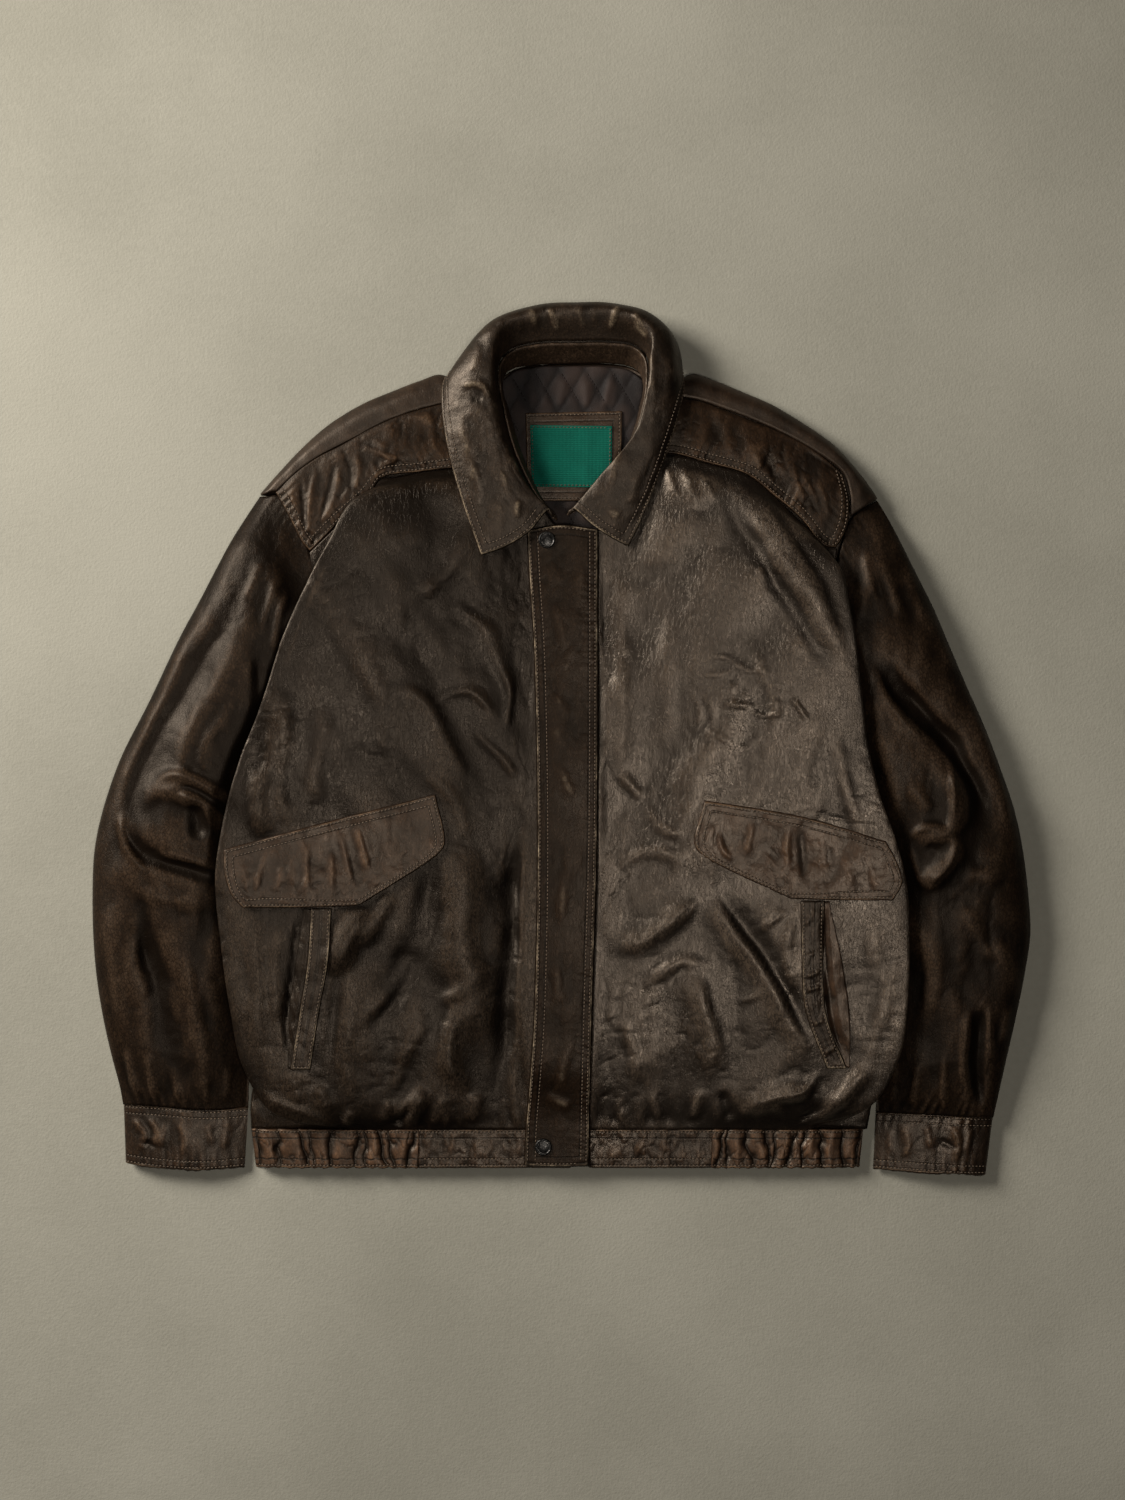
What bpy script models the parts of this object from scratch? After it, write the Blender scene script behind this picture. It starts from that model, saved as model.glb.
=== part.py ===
"""Worn leather jacket laid flat on its back: one closed solid for each piece that is cut and sewn.

Left and right are the wearer's, so the wearer's right side lies at -X. The collar is at +Y.
The outlines are lists of (across, down, height): across and down are places in the photograph's
frame, which PHOTO_SCALE turns into millimetres, and height is millimetres above the floor.
"""
import math

import bpy
import numpy as np
from mathutils import Vector
from mathutils.bvhtree import BVHTree

# Driving dimensions, in millimetres
PHOTO_SCALE = 0.88
CENTRE_LINE = 561.4
MIDDLE_ROW = 739.5
LEATHER = 2.2
FOLDED_LEATHER = 3.0
LINING = 2.4
THIN_LEATHER = 1.2
WOVEN = 0.8
SNAP_DIAMETER = 15.0
SNAP_HEIGHT = 2.4
CLEARANCE = 0.5
GATHERS = 11
GATHER_HEIGHT = 1.1
QUILT_WIDTH = 26.0
QUILT_SLOPE = 0.6
QUILT_HEIGHT = 1.6
BAND_TOP_ROW = 1129.8
BAND_HEIGHT_ABOVE_FLOOR = 14.0
BODY_HEIGHT = 21.0
TO_METRES = 0.001

COLOURS = {
    "front_leather": (0.030, 0.021, 0.016),
    "sleeve_leather": (0.034, 0.023, 0.017),
    "yoke_leather": (0.058, 0.034, 0.022),
    "trim_leather": (0.066, 0.038, 0.024),
    "gathered_leather": (0.085, 0.046, 0.028),
    "collar_leather": (0.050, 0.032, 0.022),
    "lining_cloth": (0.044, 0.034, 0.030),
    "label_cloth": (0.010, 0.150, 0.110),
    "dark_metal": (0.020, 0.019, 0.018),
}


def clear_scene():
    for item in list(bpy.data.objects):
        bpy.data.objects.remove(item)


def material(name):
    """The material of that name, made once."""
    found = bpy.data.materials.get(name)
    if found:
        return found
    made = bpy.data.materials.new(name)
    made.use_nodes = True
    shader = made.node_tree.nodes["Principled BSDF"]
    shader.inputs["Base Color"].default_value = (*COLOURS[name], 1)
    shader.inputs["Roughness"].default_value = 0.35 if name == "dark_metal" else 0.55
    shader.inputs["Metallic"].default_value = 0.9 if name == "dark_metal" else 0.0
    return made


# Curves and surfaces
def through(points, counts):
    """Smooth line through the points of the second last axis, with counts[i] steps after point i."""
    points = np.asarray(points, float)
    steps = np.sqrt(np.linalg.norm(np.diff(points, axis=-2), axis=-1))
    steps = np.maximum(steps, 1e-3)[..., None]
    slopes = np.diff(points, axis=-2) / steps
    middle = (steps[..., 1:, :] * slopes[..., :-1, :] + steps[..., :-1, :] * slopes[..., 1:, :])
    middle = middle / (steps[..., 1:, :] + steps[..., :-1, :])
    tangents = np.concatenate([slopes[..., :1, :], middle, slopes[..., -1:, :]], axis=-2)
    pieces = []
    for index, count in enumerate(counts):
        place = (np.arange(count) / count)[:, None]
        start = points[..., index:index + 1, :]
        end = points[..., index + 1:index + 2, :]
        leave = tangents[..., index:index + 1, :] * steps[..., index:index + 1, :]
        arrive = tangents[..., index + 1:index + 2, :] * steps[..., index:index + 1, :]
        pieces.append((2 * place**3 - 3 * place**2 + 1) * start + (place**3 - 2 * place**2 + place) * leave
                      + (3 * place**2 - 2 * place**3) * end + (place**3 - place**2) * arrive)
    pieces.append(points[..., -1:, :])
    return np.concatenate(pieces, axis=-2)


def surface(net, down, across):
    """Grid of points through a net of rows and columns, with that many steps between them."""
    rows = through(net, across)
    return through(rows.transpose(1, 0, 2), down).transpose(1, 0, 2)


def at(line, places):
    """Points of a smooth line at places from 0 to 1 of its length."""
    fine = through(line, [24] * (len(line) - 1))
    length = np.concatenate([[0], np.cumsum(np.linalg.norm(np.diff(fine, axis=0), axis=1))])
    length = length / length[-1]
    return np.stack([np.interp(places, length, fine[:, axis]) for axis in range(fine.shape[1])], axis=-1)


def between(top, bottom, left, right, across, down):
    """Surface between four edges; top and bottom run across, left and right run down."""
    u = across[None, :, None]
    v = down[:, None, None]
    corners = ((1 - u) * (1 - v) * left[0] + u * (1 - v) * right[0]
               + (1 - u) * v * left[-1] + u * v * right[-1])
    return (1 - v) * top[None] + v * bottom[None] + (1 - u) * left[:, None] + u * right[:, None] - corners


def ease(place):
    place = np.clip(place, 0, 1)
    return place * place * (3 - 2 * place)


def to_mm(grid):
    """Places in the photograph's frame turned into millimetres, +X to the wearer's left, +Y to the collar."""
    grid = np.array(grid, float)
    grid[..., 0] = (grid[..., 0] - CENTRE_LINE) * PHOTO_SCALE
    grid[..., 1] = (MIDDLE_ROW - grid[..., 1]) * PHOTO_SCALE
    return grid


def fold(plan, line, height, near, far=None, taper=0.3):
    """Height to add at plan points beside a line, a ridge or, below zero, a trough.

    near is the ridge's half width on the left of the line's direction, far on its right.
    """
    far = near if far is None else far
    line = np.array(line, float)
    best = np.full(plan.shape[:-1], 1e9)
    place = np.zeros(plan.shape[:-1])
    width = np.full(plan.shape[:-1], float(near))
    run = 0.0
    for start, end in zip(line[:-1], line[1:]):
        step = end - start
        length = math.hypot(*step)
        offset = plan - start
        share = np.clip((offset @ step) / length**2, 0, 1)
        distance = np.linalg.norm(offset - share[..., None] * step, axis=-1)
        side = step[0] * offset[..., 1] - step[1] * offset[..., 0]
        closer = distance < best
        best = np.where(closer, distance, best)
        place = np.where(closer, run + share * length, place)
        width = np.where(closer, np.where(side > 0, far, near), width)
        run += length
    place = place / run
    return height * ease(np.minimum(place, 1 - place) / taper) * np.exp(-(best / width)**2)


# Meshes
def grid_faces(rows, columns, ring=False):
    span = columns if ring else columns - 1
    return [(r * columns + c, r * columns + (c + 1) % columns,
             (r + 1) * columns + (c + 1) % columns, (r + 1) * columns + c)
            for r in range(rows - 1) for c in range(span)]


def facing(points, faces):
    """Normals, as long as the faces are large, and centres of four-sided faces."""
    quads = points[np.array(faces)]
    normals = np.cross(quads[:, 2] - quads[:, 0], quads[:, 3] - quads[:, 1]) / 2
    return normals, quads.mean(axis=1)


def leather(name, grid, thickness, paint, outer="up", ring=False):
    """Sheet or tube of one thickness; grid holds its outer side in millimetres."""
    rows, columns, _ = grid.shape
    points = grid.reshape(-1, 3)
    faces = grid_faces(rows, columns, ring)
    normals, centres = facing(points, faces)
    if ring:
        turned = ((centres - points.mean(axis=0)) * normals).sum() < 0
    else:
        turned = (normals[:, 2].sum() < 0) == (outer == "up")
    if turned:
        faces = [face[::-1] for face in faces]
    mesh = bpy.data.meshes.new(name)
    mesh.from_pydata((points * TO_METRES).tolist(), [], faces)
    mesh.shade_smooth()
    item = bpy.data.objects.new(name, mesh)
    bpy.context.collection.objects.link(item)
    item.data.materials.append(material(paint))
    shell = item.modifiers.new("Thickness", "SOLIDIFY")
    shell.thickness = thickness * TO_METRES
    shell.offset = -1
    return item


def tree_of(grid):
    rows, columns, _ = grid.shape
    return BVHTree.FromPolygons(grid.reshape(-1, 3).tolist(), grid_faces(rows, columns))


def laid_on(plan, ground, gap):
    """Heights of a trim that lies on a surface, that far above it, smooth where it leaves its edge."""
    heights = np.full(plan.shape[:2], np.nan)
    for place in np.ndindex(plan.shape[:2]):
        spot = plan[place]
        hit = ground.ray_cast(Vector((spot[0], spot[1], 200)), Vector((0, 0, -1)))
        if hit[0] is not None:
            heights[place] = hit[0].z
    for line in list(heights) + list(heights.T):
        known = np.flatnonzero(~np.isnan(line))
        if 0 < len(known) < len(line):
            line[:] = np.interp(np.arange(len(line)), known, line[known])
    return np.dstack([plan[..., :2], heights + gap])


def on_surface(name, corners, steps, ground, thickness, paint, gap=CLEARANCE):
    """Trim between four plan edges, laid on a surface; its grid is its outer side."""
    top, bottom, left, right = corners
    across = np.linspace(0, 1, steps[0] + 1)
    down = np.linspace(0, 1, steps[1] + 1)
    plan = between(at(top, across), at(bottom, across), at(left, down), at(right, down), across, down)
    flat = np.dstack([plan, np.zeros(plan.shape[:2])])
    outer = laid_on(to_mm(flat), ground, gap + thickness)
    leather(name, outer, thickness, paint)
    return outer


# Fronts
DOWN_FRONT = np.array([0, .05, .11, .18, .28, .40, .52, .60, .68, .76, .84, .90, .95, 1.0])
INSET = 11
RISE = 6.5

RIGHT_NECK = [(572, 538, 20.4), (553, 523, 20.4), (545, 512, 20.6), (537, 500, 21), (520.5, 468.5, 22.3), (488, 469.5, 23.7),
              (457, 470.5, 24.8), (425, 474, 25.3), (394, 479.5, 25.5)]
RIGHT_HEM = [(572, 1129, 13.4), (520, 1129, 14), (440, 1129, 14), (362, 1129.5, 14.4)]
RIGHT_FREE_EDGE = [(572, 538, 20.4), (572, 700, 20.4), (572, 900, 20.4), (572, 1040, 20.4), (572, 1095, 16),
                   (572, 1129, 13.4)]
RIGHT_EDGE = [(382, 481, 25), (361, 512, 30), (342, 547, 33), (321, 587, 33), (297, 640, 32),
              (276, 706, 31), (253, 765, 30), (237, 825, 29), (230, 880, 28), (236, 945, 28),
              (245, 1008, 27), (256, 1060, 25), (283, 1102, 20), (345, 1128, 14.5)]
RIGHT_TURN = [(370, 497, 24.6), (366, 515, 26), (352, 545, 28), (334, 585, 27), (315, 640, 23),
              (293, 710, 19), (270, 768, 17), (253, 828, 16), (247, 880, 15.5), (252, 943, 15.5),
              (260, 1005, 15), (271, 1052, 15.5), (300, 1096, 14.5), (352, 1127, 11.8)]
RIGHT_ROLL = [(341, 525, 24), (334, 545, 24.5), (331, 563, 24.5), (327, 597, 22), (322, 647, 15),
              (302, 711, 9), (282, 768, 8), (267, 828, 8), (263, 880, 8), (265, 940, 8),
              (267, 1002, 8), (257, 1066, 8.5), (251, 1100, 8), (251, 1129, 7)]
RIGHT_SEAM = [(311.5, 553.5, 23.5), (312.8, 565, 23.5), (317, 578, 23), (325.5, 606, 19.5), (326.5, 654, 11.5),
              (310.5, 702, 5), (295, 768, 4), (290, 828, 4), (288, 880, 4), (287, 940, 4),
              (285, 1000, 4), (279, 1060, 4), (274, 1100, 4), (271, 1129, 4)]

LEFT_NECK = [(598.5, 532, 22), (606, 500, 22), (623, 468, 22.5), (646, 459, 24), (670, 456.5, 25),
             (707, 466, 25.5), (747, 478, 25.5), (773, 498, 25.5), (814, 537, 25.3)]
LEFT_HEM = [(589.8, 1129, 14), (650, 1129, 14), (720, 1129, 14), (797, 1129.5, 14.4)]
LEFT_FREE_EDGE = [(598.5, 532, 22), (598.5, 700, 22), (597.5, 850, 22), (592.8, 1000, 22), (591, 1080, 21),
                  (589.8, 1129, 14)]
LEFT_EDGE = [(825, 548, 25), (829, 577, 29), (835, 607, 31), (841, 640, 32), (847, 690, 31.5),
             (853, 740, 31), (865, 795, 30), (881, 840, 29), (893, 888, 28), (895, 945, 28),
             (893, 1003, 27), (886, 1050, 25), (858, 1098, 20), (812, 1128, 14.5)]
LEFT_TURN = [(829, 549, 24.4), (832, 576, 24), (834, 606, 23.5), (835, 640, 22), (838, 691, 19),
             (843, 741, 18), (851, 796, 17), (865, 841, 16), (877, 888, 15.5), (879, 945, 15.5),
             (877, 1001, 15), (870, 1044, 15.5), (845, 1092, 14.5), (806, 1127, 11.8)]
LEFT_ROLL = [(832, 549.7, 24), (832, 574, 22), (830, 605, 19.5), (829, 641, 16), (833, 692, 11),
             (838, 741, 9), (843, 796, 8), (852, 841, 8), (861, 887, 8), (862, 945, 8),
             (864, 1001, 8), (876, 1060, 8.5), (873, 1098, 8), (868, 1129, 7)]
LEFT_SEAM = [(835, 550.5, 23.5), (833, 578, 20), (830, 610, 16), (829.5, 646, 11.5), (836, 697, 5),
             (834, 741, 4), (832, 796, 4), (833, 841, 4), (836, 888, 4), (838, 945, 4),
             (842, 1001, 4), (849, 1060, 4), (851, 1098, 4), (851, 1129, 4)]

RIGHT_FOLDS = [
    ([(372, 905), (330, 975)], 3.5, 9, 14),
    ([(498, 820), (478, 900), (492, 1000), (462, 1090)], 4.5, 14, 18),
    ([(440, 850), (425, 930), (372, 1040)], -3.0, 12, 12),
    ([(395, 1118), (430, 1085)], 3.5, 9, 9),
    ([(262, 760), (268, 840)], 2.0, 8, 8),
]
LEFT_FOLDS = [
    ([(722, 868), (760, 950), (815, 1055)], -4.0, 7, 14),
    ([(695, 892), (650, 930), (610, 950)], 3.5, 12, 9),
    ([(730, 480), (800, 590), (835, 660)], 3.0, 10, 16),
    ([(735, 1118), (770, 1095), (812, 1085)], 4.0, 9, 9),
    ([(690, 960), (700, 1020), (722, 1080)], 3.0, 12, 14),
    ([(868, 1058), (820, 1112)], 3.0, 9, 9),
]


def inset_of(edge, side):
    """Line beside an outline, INSET inside it and RISE above it: the top of its rolled edge."""
    edge = np.array(edge, float)
    along = np.gradient(edge[:, :2], axis=0)
    along /= np.linalg.norm(along, axis=1)[:, None]
    inward = np.stack([along[:, 1], -along[:, 0]], axis=1) * side
    return np.column_stack([edge[:, :2] + INSET * inward, edge[:, 2] + RISE])


def front_grid(neck, hem, free_edge, rails, folds, side, lap, down, detail=1):
    """Outer side of a front: a panel that climbs to its rolled edge, and its return to the side seam.

    The panel stays level over the share lap of its width, which lies under the placket.
    """
    edge = rails[0]
    crest = inset_of(edge, side)
    crest[0] = neck[-1]
    crest[-1] = hem[-1]
    neck = np.array(neck, float)
    lengths = np.concatenate([[0], np.cumsum(np.linalg.norm(np.diff(neck, axis=0), axis=1))])
    across = lengths / lengths[-1]
    hem = at(hem, across)
    free_edge = at(free_edge, DOWN_FRONT)
    panel = between(neck, hem, free_edge, crest, across, DOWN_FRONT)
    climb = ease((across - lap) / (1 - lap))
    panel[..., 2] += ((climb - across)[None, :] * (crest - free_edge)[:, 2, None]
                      - (climb - across)[None, :] * ((1 - DOWN_FRONT) * (crest - free_edge)[0, 2]
                                                     + DOWN_FRONT * (crest - free_edge)[-1, 2])[:, None])
    net = np.concatenate([panel] + [np.array(line, float)[:, None] for line in rails], axis=1)
    columns = [detail] * (len(neck) - 1) + [2 * detail, 2 * detail, 2 * detail, detail]
    grid = surface(net, down, columns)
    top = detail * (len(neck) - 1)
    inside = np.ones(grid.shape[:2])
    inside[:, top + 1:] = 0
    place = np.linspace(0, 1, grid.shape[0])[:, None]
    inside *= ease(place / 0.04) * ease((1 - place) / 0.03)
    reach = np.linspace(0, 1, top + 1)
    inside[:, :top + 1] *= ease((reach - lap) / 0.08) * ease((1 - reach) / 0.08)
    for line, height, near, far in folds:
        grid[..., 2] += inside * fold(grid[..., :2], line, height, near, far)
    return to_mm(grid)


DOWN_STEPS = [1, 1, 1, 2, 2, 3, 2, 2, 2, 2, 2, 2, 1]


def make_fronts():
    right = front_grid(RIGHT_NECK, RIGHT_HEM, RIGHT_FREE_EDGE, [RIGHT_EDGE, RIGHT_TURN, RIGHT_ROLL, RIGHT_SEAM],
                       RIGHT_FOLDS, -1, 0.16, DOWN_STEPS)
    leather("front_right", right, LEATHER, "front_leather")
    left = front_grid(LEFT_NECK, LEFT_HEM, LEFT_FREE_EDGE, [LEFT_EDGE, LEFT_TURN, LEFT_ROLL, LEFT_SEAM],
                      LEFT_FOLDS, 1, 0, DOWN_STEPS)
    leather("front_left", left, LEATHER, "front_leather")
    return tree_of(right), tree_of(left)


# Yokes
def make_yokes():
    """Crowned panels between the shoulder seam, the armhole and the gathered lower seam."""
    right = ([(500, 398, 19.5), (470, 399.5, 20.5), (443, 405.5, 21), (400, 417.5, 21.5), (370, 431, 21.5),
              (340, 448, 21.5), (320, 458, 21), (297, 474, 20.5), (277, 493, 19)],
             [(519.5, 466, 22), (488, 467.5, 23.5), (457, 468.5, 24.6), (420, 472.5, 25), (383, 478.5, 24.5),
              (369, 496, 24), (340, 522.5, 23.5), (311, 551, 23)],
             [(500, 398, 19.5), (508, 430, 20.5), (519.5, 466, 22)],
             [(277, 493, 19), (288.5, 513, 21.5), (303, 541, 23), (311, 551, 23)])
    left = ([(642, 399, 19.5), (672, 399.5, 20.5), (697, 402.5, 21), (740, 418, 21.5), (773, 431, 21.5),
             (807, 448, 21), (823, 459, 20.5), (841, 475, 19)],
            [(625, 464, 22), (646, 456.5, 23.5), (670, 454, 24.6), (707, 463.5, 25), (747, 475.5, 25),
             (773, 495.5, 25), (800, 519, 25), (822, 545, 24.5), (834.5, 548, 23.5)],
            [(642, 399, 19.5), (635, 430, 20.5), (625, 464, 22)],
            [(841, 475, 19), (847.5, 500, 21.5), (845.5, 527, 23), (834.5, 548, 23.5)])
    across = np.linspace(0, 1, 19)
    down = np.linspace(0, 1, 7)
    for name, edges in (("yoke_right", right), ("yoke_left", left)):
        top, bottom, neck, arm = edges
        grid = between(at(top, across), at(bottom, across), at(neck, down), at(arm, down), across, down)
        grid[..., 2] += 1.5 * np.sin(math.pi * across[None, :]) * np.sin(math.pi * down[:, None])
        leather(name, to_mm(grid), LEATHER, "yoke_leather")


# Sleeves and cuffs
RIGHT_ARMHOLE = [(262, 495.5, 10), (272, 498.5, 17), (287, 515, 21.5), (301.5, 543, 23), (309.5, 565, 23.5),
                 (318, 590, 22.5), (325.5, 620, 17), (323, 657, 11), (308, 700, 5)]
RIGHT_OUTER = [(262, 495.5), (248, 512), (230, 543), (200, 600), (180, 637), (150, 700), (120, 760), (102, 813),
               (94.5, 850), (92.5, 890), (93.5, 940), (97, 980), (104, 1022), (112, 1057), (120, 1087),
               (123, 1103.5)]
RIGHT_INNER = [(308, 700), (288, 745), (266, 800), (252, 850), (247, 900), (248, 950), (249, 1000), (248.5, 1050),
               (247.5, 1108)]
RIGHT_CUFF_SEAM = [(123, 1103.5), (165, 1106), (210, 1109.5), (247.5, 1108)]
RIGHT_CUFF_HEM = [(125, 1163), (163, 1167.5), (205, 1169.5), (244, 1167.5)]

LEFT_ARMHOLE = [(878.5, 503, 10), (869, 509, 17), (855.5, 527, 21), (843, 556, 22.5), (838, 583, 20),
                (834, 614, 16), (834, 650, 11), (841, 699, 5)]
LEFT_OUTER = [(878.5, 503), (891, 525), (913, 567), (933, 607), (950, 647), (967, 687), (983, 723), (1000, 767),
              (1015, 812), (1023, 850), (1028.5, 895), (1030.5, 933), (1026, 967), (1017, 1013), (1007, 1057),
              (998, 1097), (993.5, 1117)]
LEFT_INNER = [(841, 699), (848, 745), (857, 795), (870, 840), (880, 888), (882, 945), (880, 1003), (880, 1050),
              (877, 1113)]
LEFT_CUFF_SEAM = [(993.5, 1117), (950, 1115), (910, 1113), (877, 1113)]
LEFT_CUFF_HEM = [(986.5, 1175), (950, 1173), (905, 1170.5), (874, 1169)]

SLEEVE_HEIGHT = [(0, 24), (0.08, 31), (0.2, 35), (0.45, 36), (0.7, 33), (0.9, 27), (0.97, 20), (1, 16.5)]
OUTER_EDGE_HEIGHT = 11
INNER_EDGE_HEIGHT = 4
CUFF_HEIGHT = 15
SOFTNESS = 1.5

RIGHT_SLEEVE_FOLDS = [
    ([(240, 620), (196, 690), (150, 780), (128, 850)], -6.0, 16, 14),
    ([(232, 838), (200, 800), (160, 790), (140, 815)], 4.0, 8, 10),
    ([(240, 880), (190, 868), (140, 850), (126, 820)], -4.5, 7, 10),
    ([(140, 900), (160, 960), (172, 1040), (195, 1090)], -3.5, 12, 16),
]
LEFT_SLEEVE_FOLDS = [
    ([(862, 650), (900, 700), (950, 750), (975, 800), (990, 860)], -5.0, 14, 12),
    ([(906, 835), (948, 828), (950, 760)], 4.0, 8, 10),
    ([(915, 890), (950, 850), (952, 830)], 4.0, 8, 10),
    ([(978, 1000), (976, 1060), (978, 1112)], -4.0, 6, 10),
]


def tucked(plan, height, edge, turn):
    """Height kept low enough to pass under the rolled edge of the front that lies over a sleeve."""
    edge = np.array(edge, float)
    best = np.full(plan.shape[:2], 1e9)
    limit = np.zeros(plan.shape[:2])
    for index in range(len(edge) - 1):
        start = edge[index, :2]
        step = edge[index + 1, :2] - start
        offset = plan - start
        share = np.clip((offset @ step) / (step @ step), 0, 1)
        distance = np.linalg.norm(offset - share[..., None] * step, axis=-1)
        side = step[0] * offset[..., 1] - step[1] * offset[..., 0]
        outward = np.where((side > 0) == (edge[0, 0] < CENTRE_LINE), distance, -0.6 * distance)
        under = turn[index][2] + share * (turn[index + 1][2] - turn[index][2]) - 2 * LEATHER
        limit = np.where(distance < best, under + outward, limit)
        best = np.minimum(best, distance)
    return -SOFTNESS * np.log(np.exp(-height / SOFTNESS) + np.exp(-limit / SOFTNESS))


def tube_grid(edges, heights, seam, folds, around, down, outer_edge, inner_edge, cover=None):
    """Flattened tube on the floor: its plan lies between four edges, its top is a lopsided crown.

    The ring runs over the top from the outer edge to the inner edge and back along the floor.
    """
    top, bottom, outer, inner = edges
    angle = np.arange(around) * 2 * math.pi / around
    share = (1 - np.cos(angle)) / 2
    plan = between(at(np.array(top)[:, :2], share), at(bottom, share), at(outer, down), at(inner, down),
                   share, down)
    off_middle = np.abs(2 * share - 1)[None, :]
    edge = (outer_edge + (inner_edge - outer_edge) * share)[None, :]
    crown = np.where(share[None, :] < 0.5, np.sqrt(1 - off_middle**2.6), 1 - off_middle**1.8)
    height = np.interp(down, *np.array(heights).T)[:, None]
    upper = edge + (height - edge) * crown
    if seam:
        near = ease(down / 0.10)[:, None]
        upper = (1 - near) * at(top, share)[None, :, 2] + near * upper
        edge = (1 - near) * np.minimum(edge, at(top, share)[None, :, 2]) + near * edge
    flatness = np.sqrt(1 - np.clip((off_middle - 0.75) / 0.25, 0, 1)**2)
    lower = edge * (1 - flatness)
    over = (np.sin(angle) > 1e-6)[None, :]
    window = crown * ease(down / 0.08)[:, None] * ease((1 - down) / 0.05)[:, None]
    for line, rise, near_width, far_width in folds:
        upper = upper + window * fold(plan, line, rise, near_width, far_width)
    if cover:
        reach = ease((down - 0.04) / 0.06)[:, None]
        upper = upper + reach * (np.maximum(tucked(plan, upper, *cover), edge + 1) - upper)
    ends = np.abs(np.sin(angle))[None, :] < 1e-6
    z = np.where(ends, edge, np.where(over, upper, lower))
    return to_mm(np.dstack([plan, z]))


def make_sleeves():
    around = 26
    down = np.linspace(0, 1, 18)
    down[1] = 0.03
    for name, edges, folds, cover in (
            ("sleeve_right", (RIGHT_ARMHOLE, RIGHT_CUFF_SEAM, RIGHT_OUTER, RIGHT_INNER), RIGHT_SLEEVE_FOLDS,
             (RIGHT_EDGE, RIGHT_TURN)),
            ("sleeve_left", (LEFT_ARMHOLE, LEFT_CUFF_SEAM, LEFT_OUTER, LEFT_INNER), LEFT_SLEEVE_FOLDS,
             (LEFT_EDGE, LEFT_TURN))):
        grid = tube_grid(edges, SLEEVE_HEIGHT, True, folds, around, down, OUTER_EDGE_HEIGHT, INNER_EDGE_HEIGHT,
                         cover)
        leather(name, grid, LEATHER, "sleeve_leather", ring=True)


def make_cuffs():
    down = np.linspace(0, 1, 4)
    gap = 0.8
    for name, seam, hem in (("cuff_right", RIGHT_CUFF_SEAM, RIGHT_CUFF_HEM),
                            ("cuff_left", LEFT_CUFF_SEAM, LEFT_CUFF_HEM)):
        top = [(x, y + gap) for x, y in seam]
        edges = (top, hem, [top[0], hem[0]], [top[-1], hem[-1]])
        heights = [(0, CUFF_HEIGHT), (1, CUFF_HEIGHT)]
        grid = tube_grid(edges, heights, False, [], 28, down, 7, 6)
        leather(name, grid, FOLDED_LEATHER, "yoke_leather", ring=True)


# Back
BACK_LEFT_SIDE = [(851.5, 1129.5), (850, 1060), (843, 1000), (839, 940), (837, 880), (834, 828), (833, 768),
                  (837.5, 700), (832.6, 650), (832.6, 614), (836, 583), (839, 553), (849.5, 527)]
BACK_RIGHT_SIDE = [(270.5, 1129.5), (278, 1060), (284, 1000), (286, 940), (287, 880), (289, 828), (294, 768),
                   (311.5, 700), (325, 657), (327.5, 620), (321.5, 590), (312.5, 562), (292, 513)]
BACK_TOP = [(277, 491, 19.3), (297, 472, 20.3), (320, 456, 20.8), (350, 440.5, 21.2), (385, 422, 21.3),
            (415, 411, 21.3), (443, 403.5, 21), (470, 397.5, 19), (488, 387, 13), (503, 375, 5),
            (520, 367, 0.8), (545, 364, 0), (575, 363, 0), (605, 363, 0), (628, 366, 0.8), (642, 373, 5),
            (655, 384, 13), (671, 394.5, 19), (697, 400, 21), (730, 411.5, 21.3), (760, 423, 21.3),
            (790, 437, 21), (823, 456.5, 20.5), (843.5, 473, 19.5), (850.5, 495, 20), (850, 516, 20)]
BACK_OUTLINE = [(260.5, 493.5, 9.5), (280, 471.5, 9.5), (300, 450, 9.5), (328, 425, 9.5), (362, 404, 9.5),
                (395, 390, 9.5), (420, 380.5, 9.5), (440, 374.5, 9.5), (461, 386, 7), (488, 389, 2.5),
                (512, 382, 0.2), (540, 373, 0), (572, 373, 0), (605, 373, 0), (634, 382, 0.2),
                (655, 388, 2.5), (675, 386, 7), (691, 374, 9.5), (714, 380, 9.5), (742, 391.5, 9.5),
                (773, 405, 9.5), (803, 423, 9.5), (832, 443.5, 9.5), (853, 465, 9.5), (866, 481, 9.5),
                (877.5, 497.5, 9.5)]
BACK_INSET = 20


def make_back():
    """Flat on the floor, and rolled over the shoulders to the forward shoulder seam."""
    top = np.array(BACK_TOP, float)
    outline = np.array(BACK_OUTLINE, float)
    over = outline + 0.35 * (top - outline)
    over[:, 2] = outline[:, 2] + 0.82 * (top[:, 2] - outline[:, 2])
    along = np.gradient(outline[:, :2], axis=0)
    along /= np.linalg.norm(along, axis=1)[:, None]
    floor = np.column_stack([outline[:, 0] - BACK_INSET * along[:, 1], outline[:, 1] + BACK_INSET * along[:, 0],
                             np.zeros(len(outline))])
    floor[0] = (280, 497, 0)
    floor[1] = (294, 489, 0)
    floor[-2] = (851, 498, 0)
    floor[-1] = (862, 503, 0)
    share = (floor[:, 0] - floor[0, 0]) / (floor[-1, 0] - floor[0, 0])
    share = np.maximum.accumulate(share)
    rows = []
    for left, right in zip(BACK_LEFT_SIDE, BACK_RIGHT_SIDE):
        row = np.outer(1 - share, right) + np.outer(share, left)
        rows.append(np.column_stack([row, np.zeros(len(share))]))
    net = np.array(rows + [floor, outline, over, top])
    down = [1] * (len(rows) - 1) + [1, 2, 2, 1]
    grid = surface(net, down, [1] * (len(share) - 1))
    grid[..., 2] = np.maximum(grid[..., 2], 0)
    grid = to_mm(grid)
    leather("back", grid, LINING, "front_leather", outer="down")
    return tree_of(grid)


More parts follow.
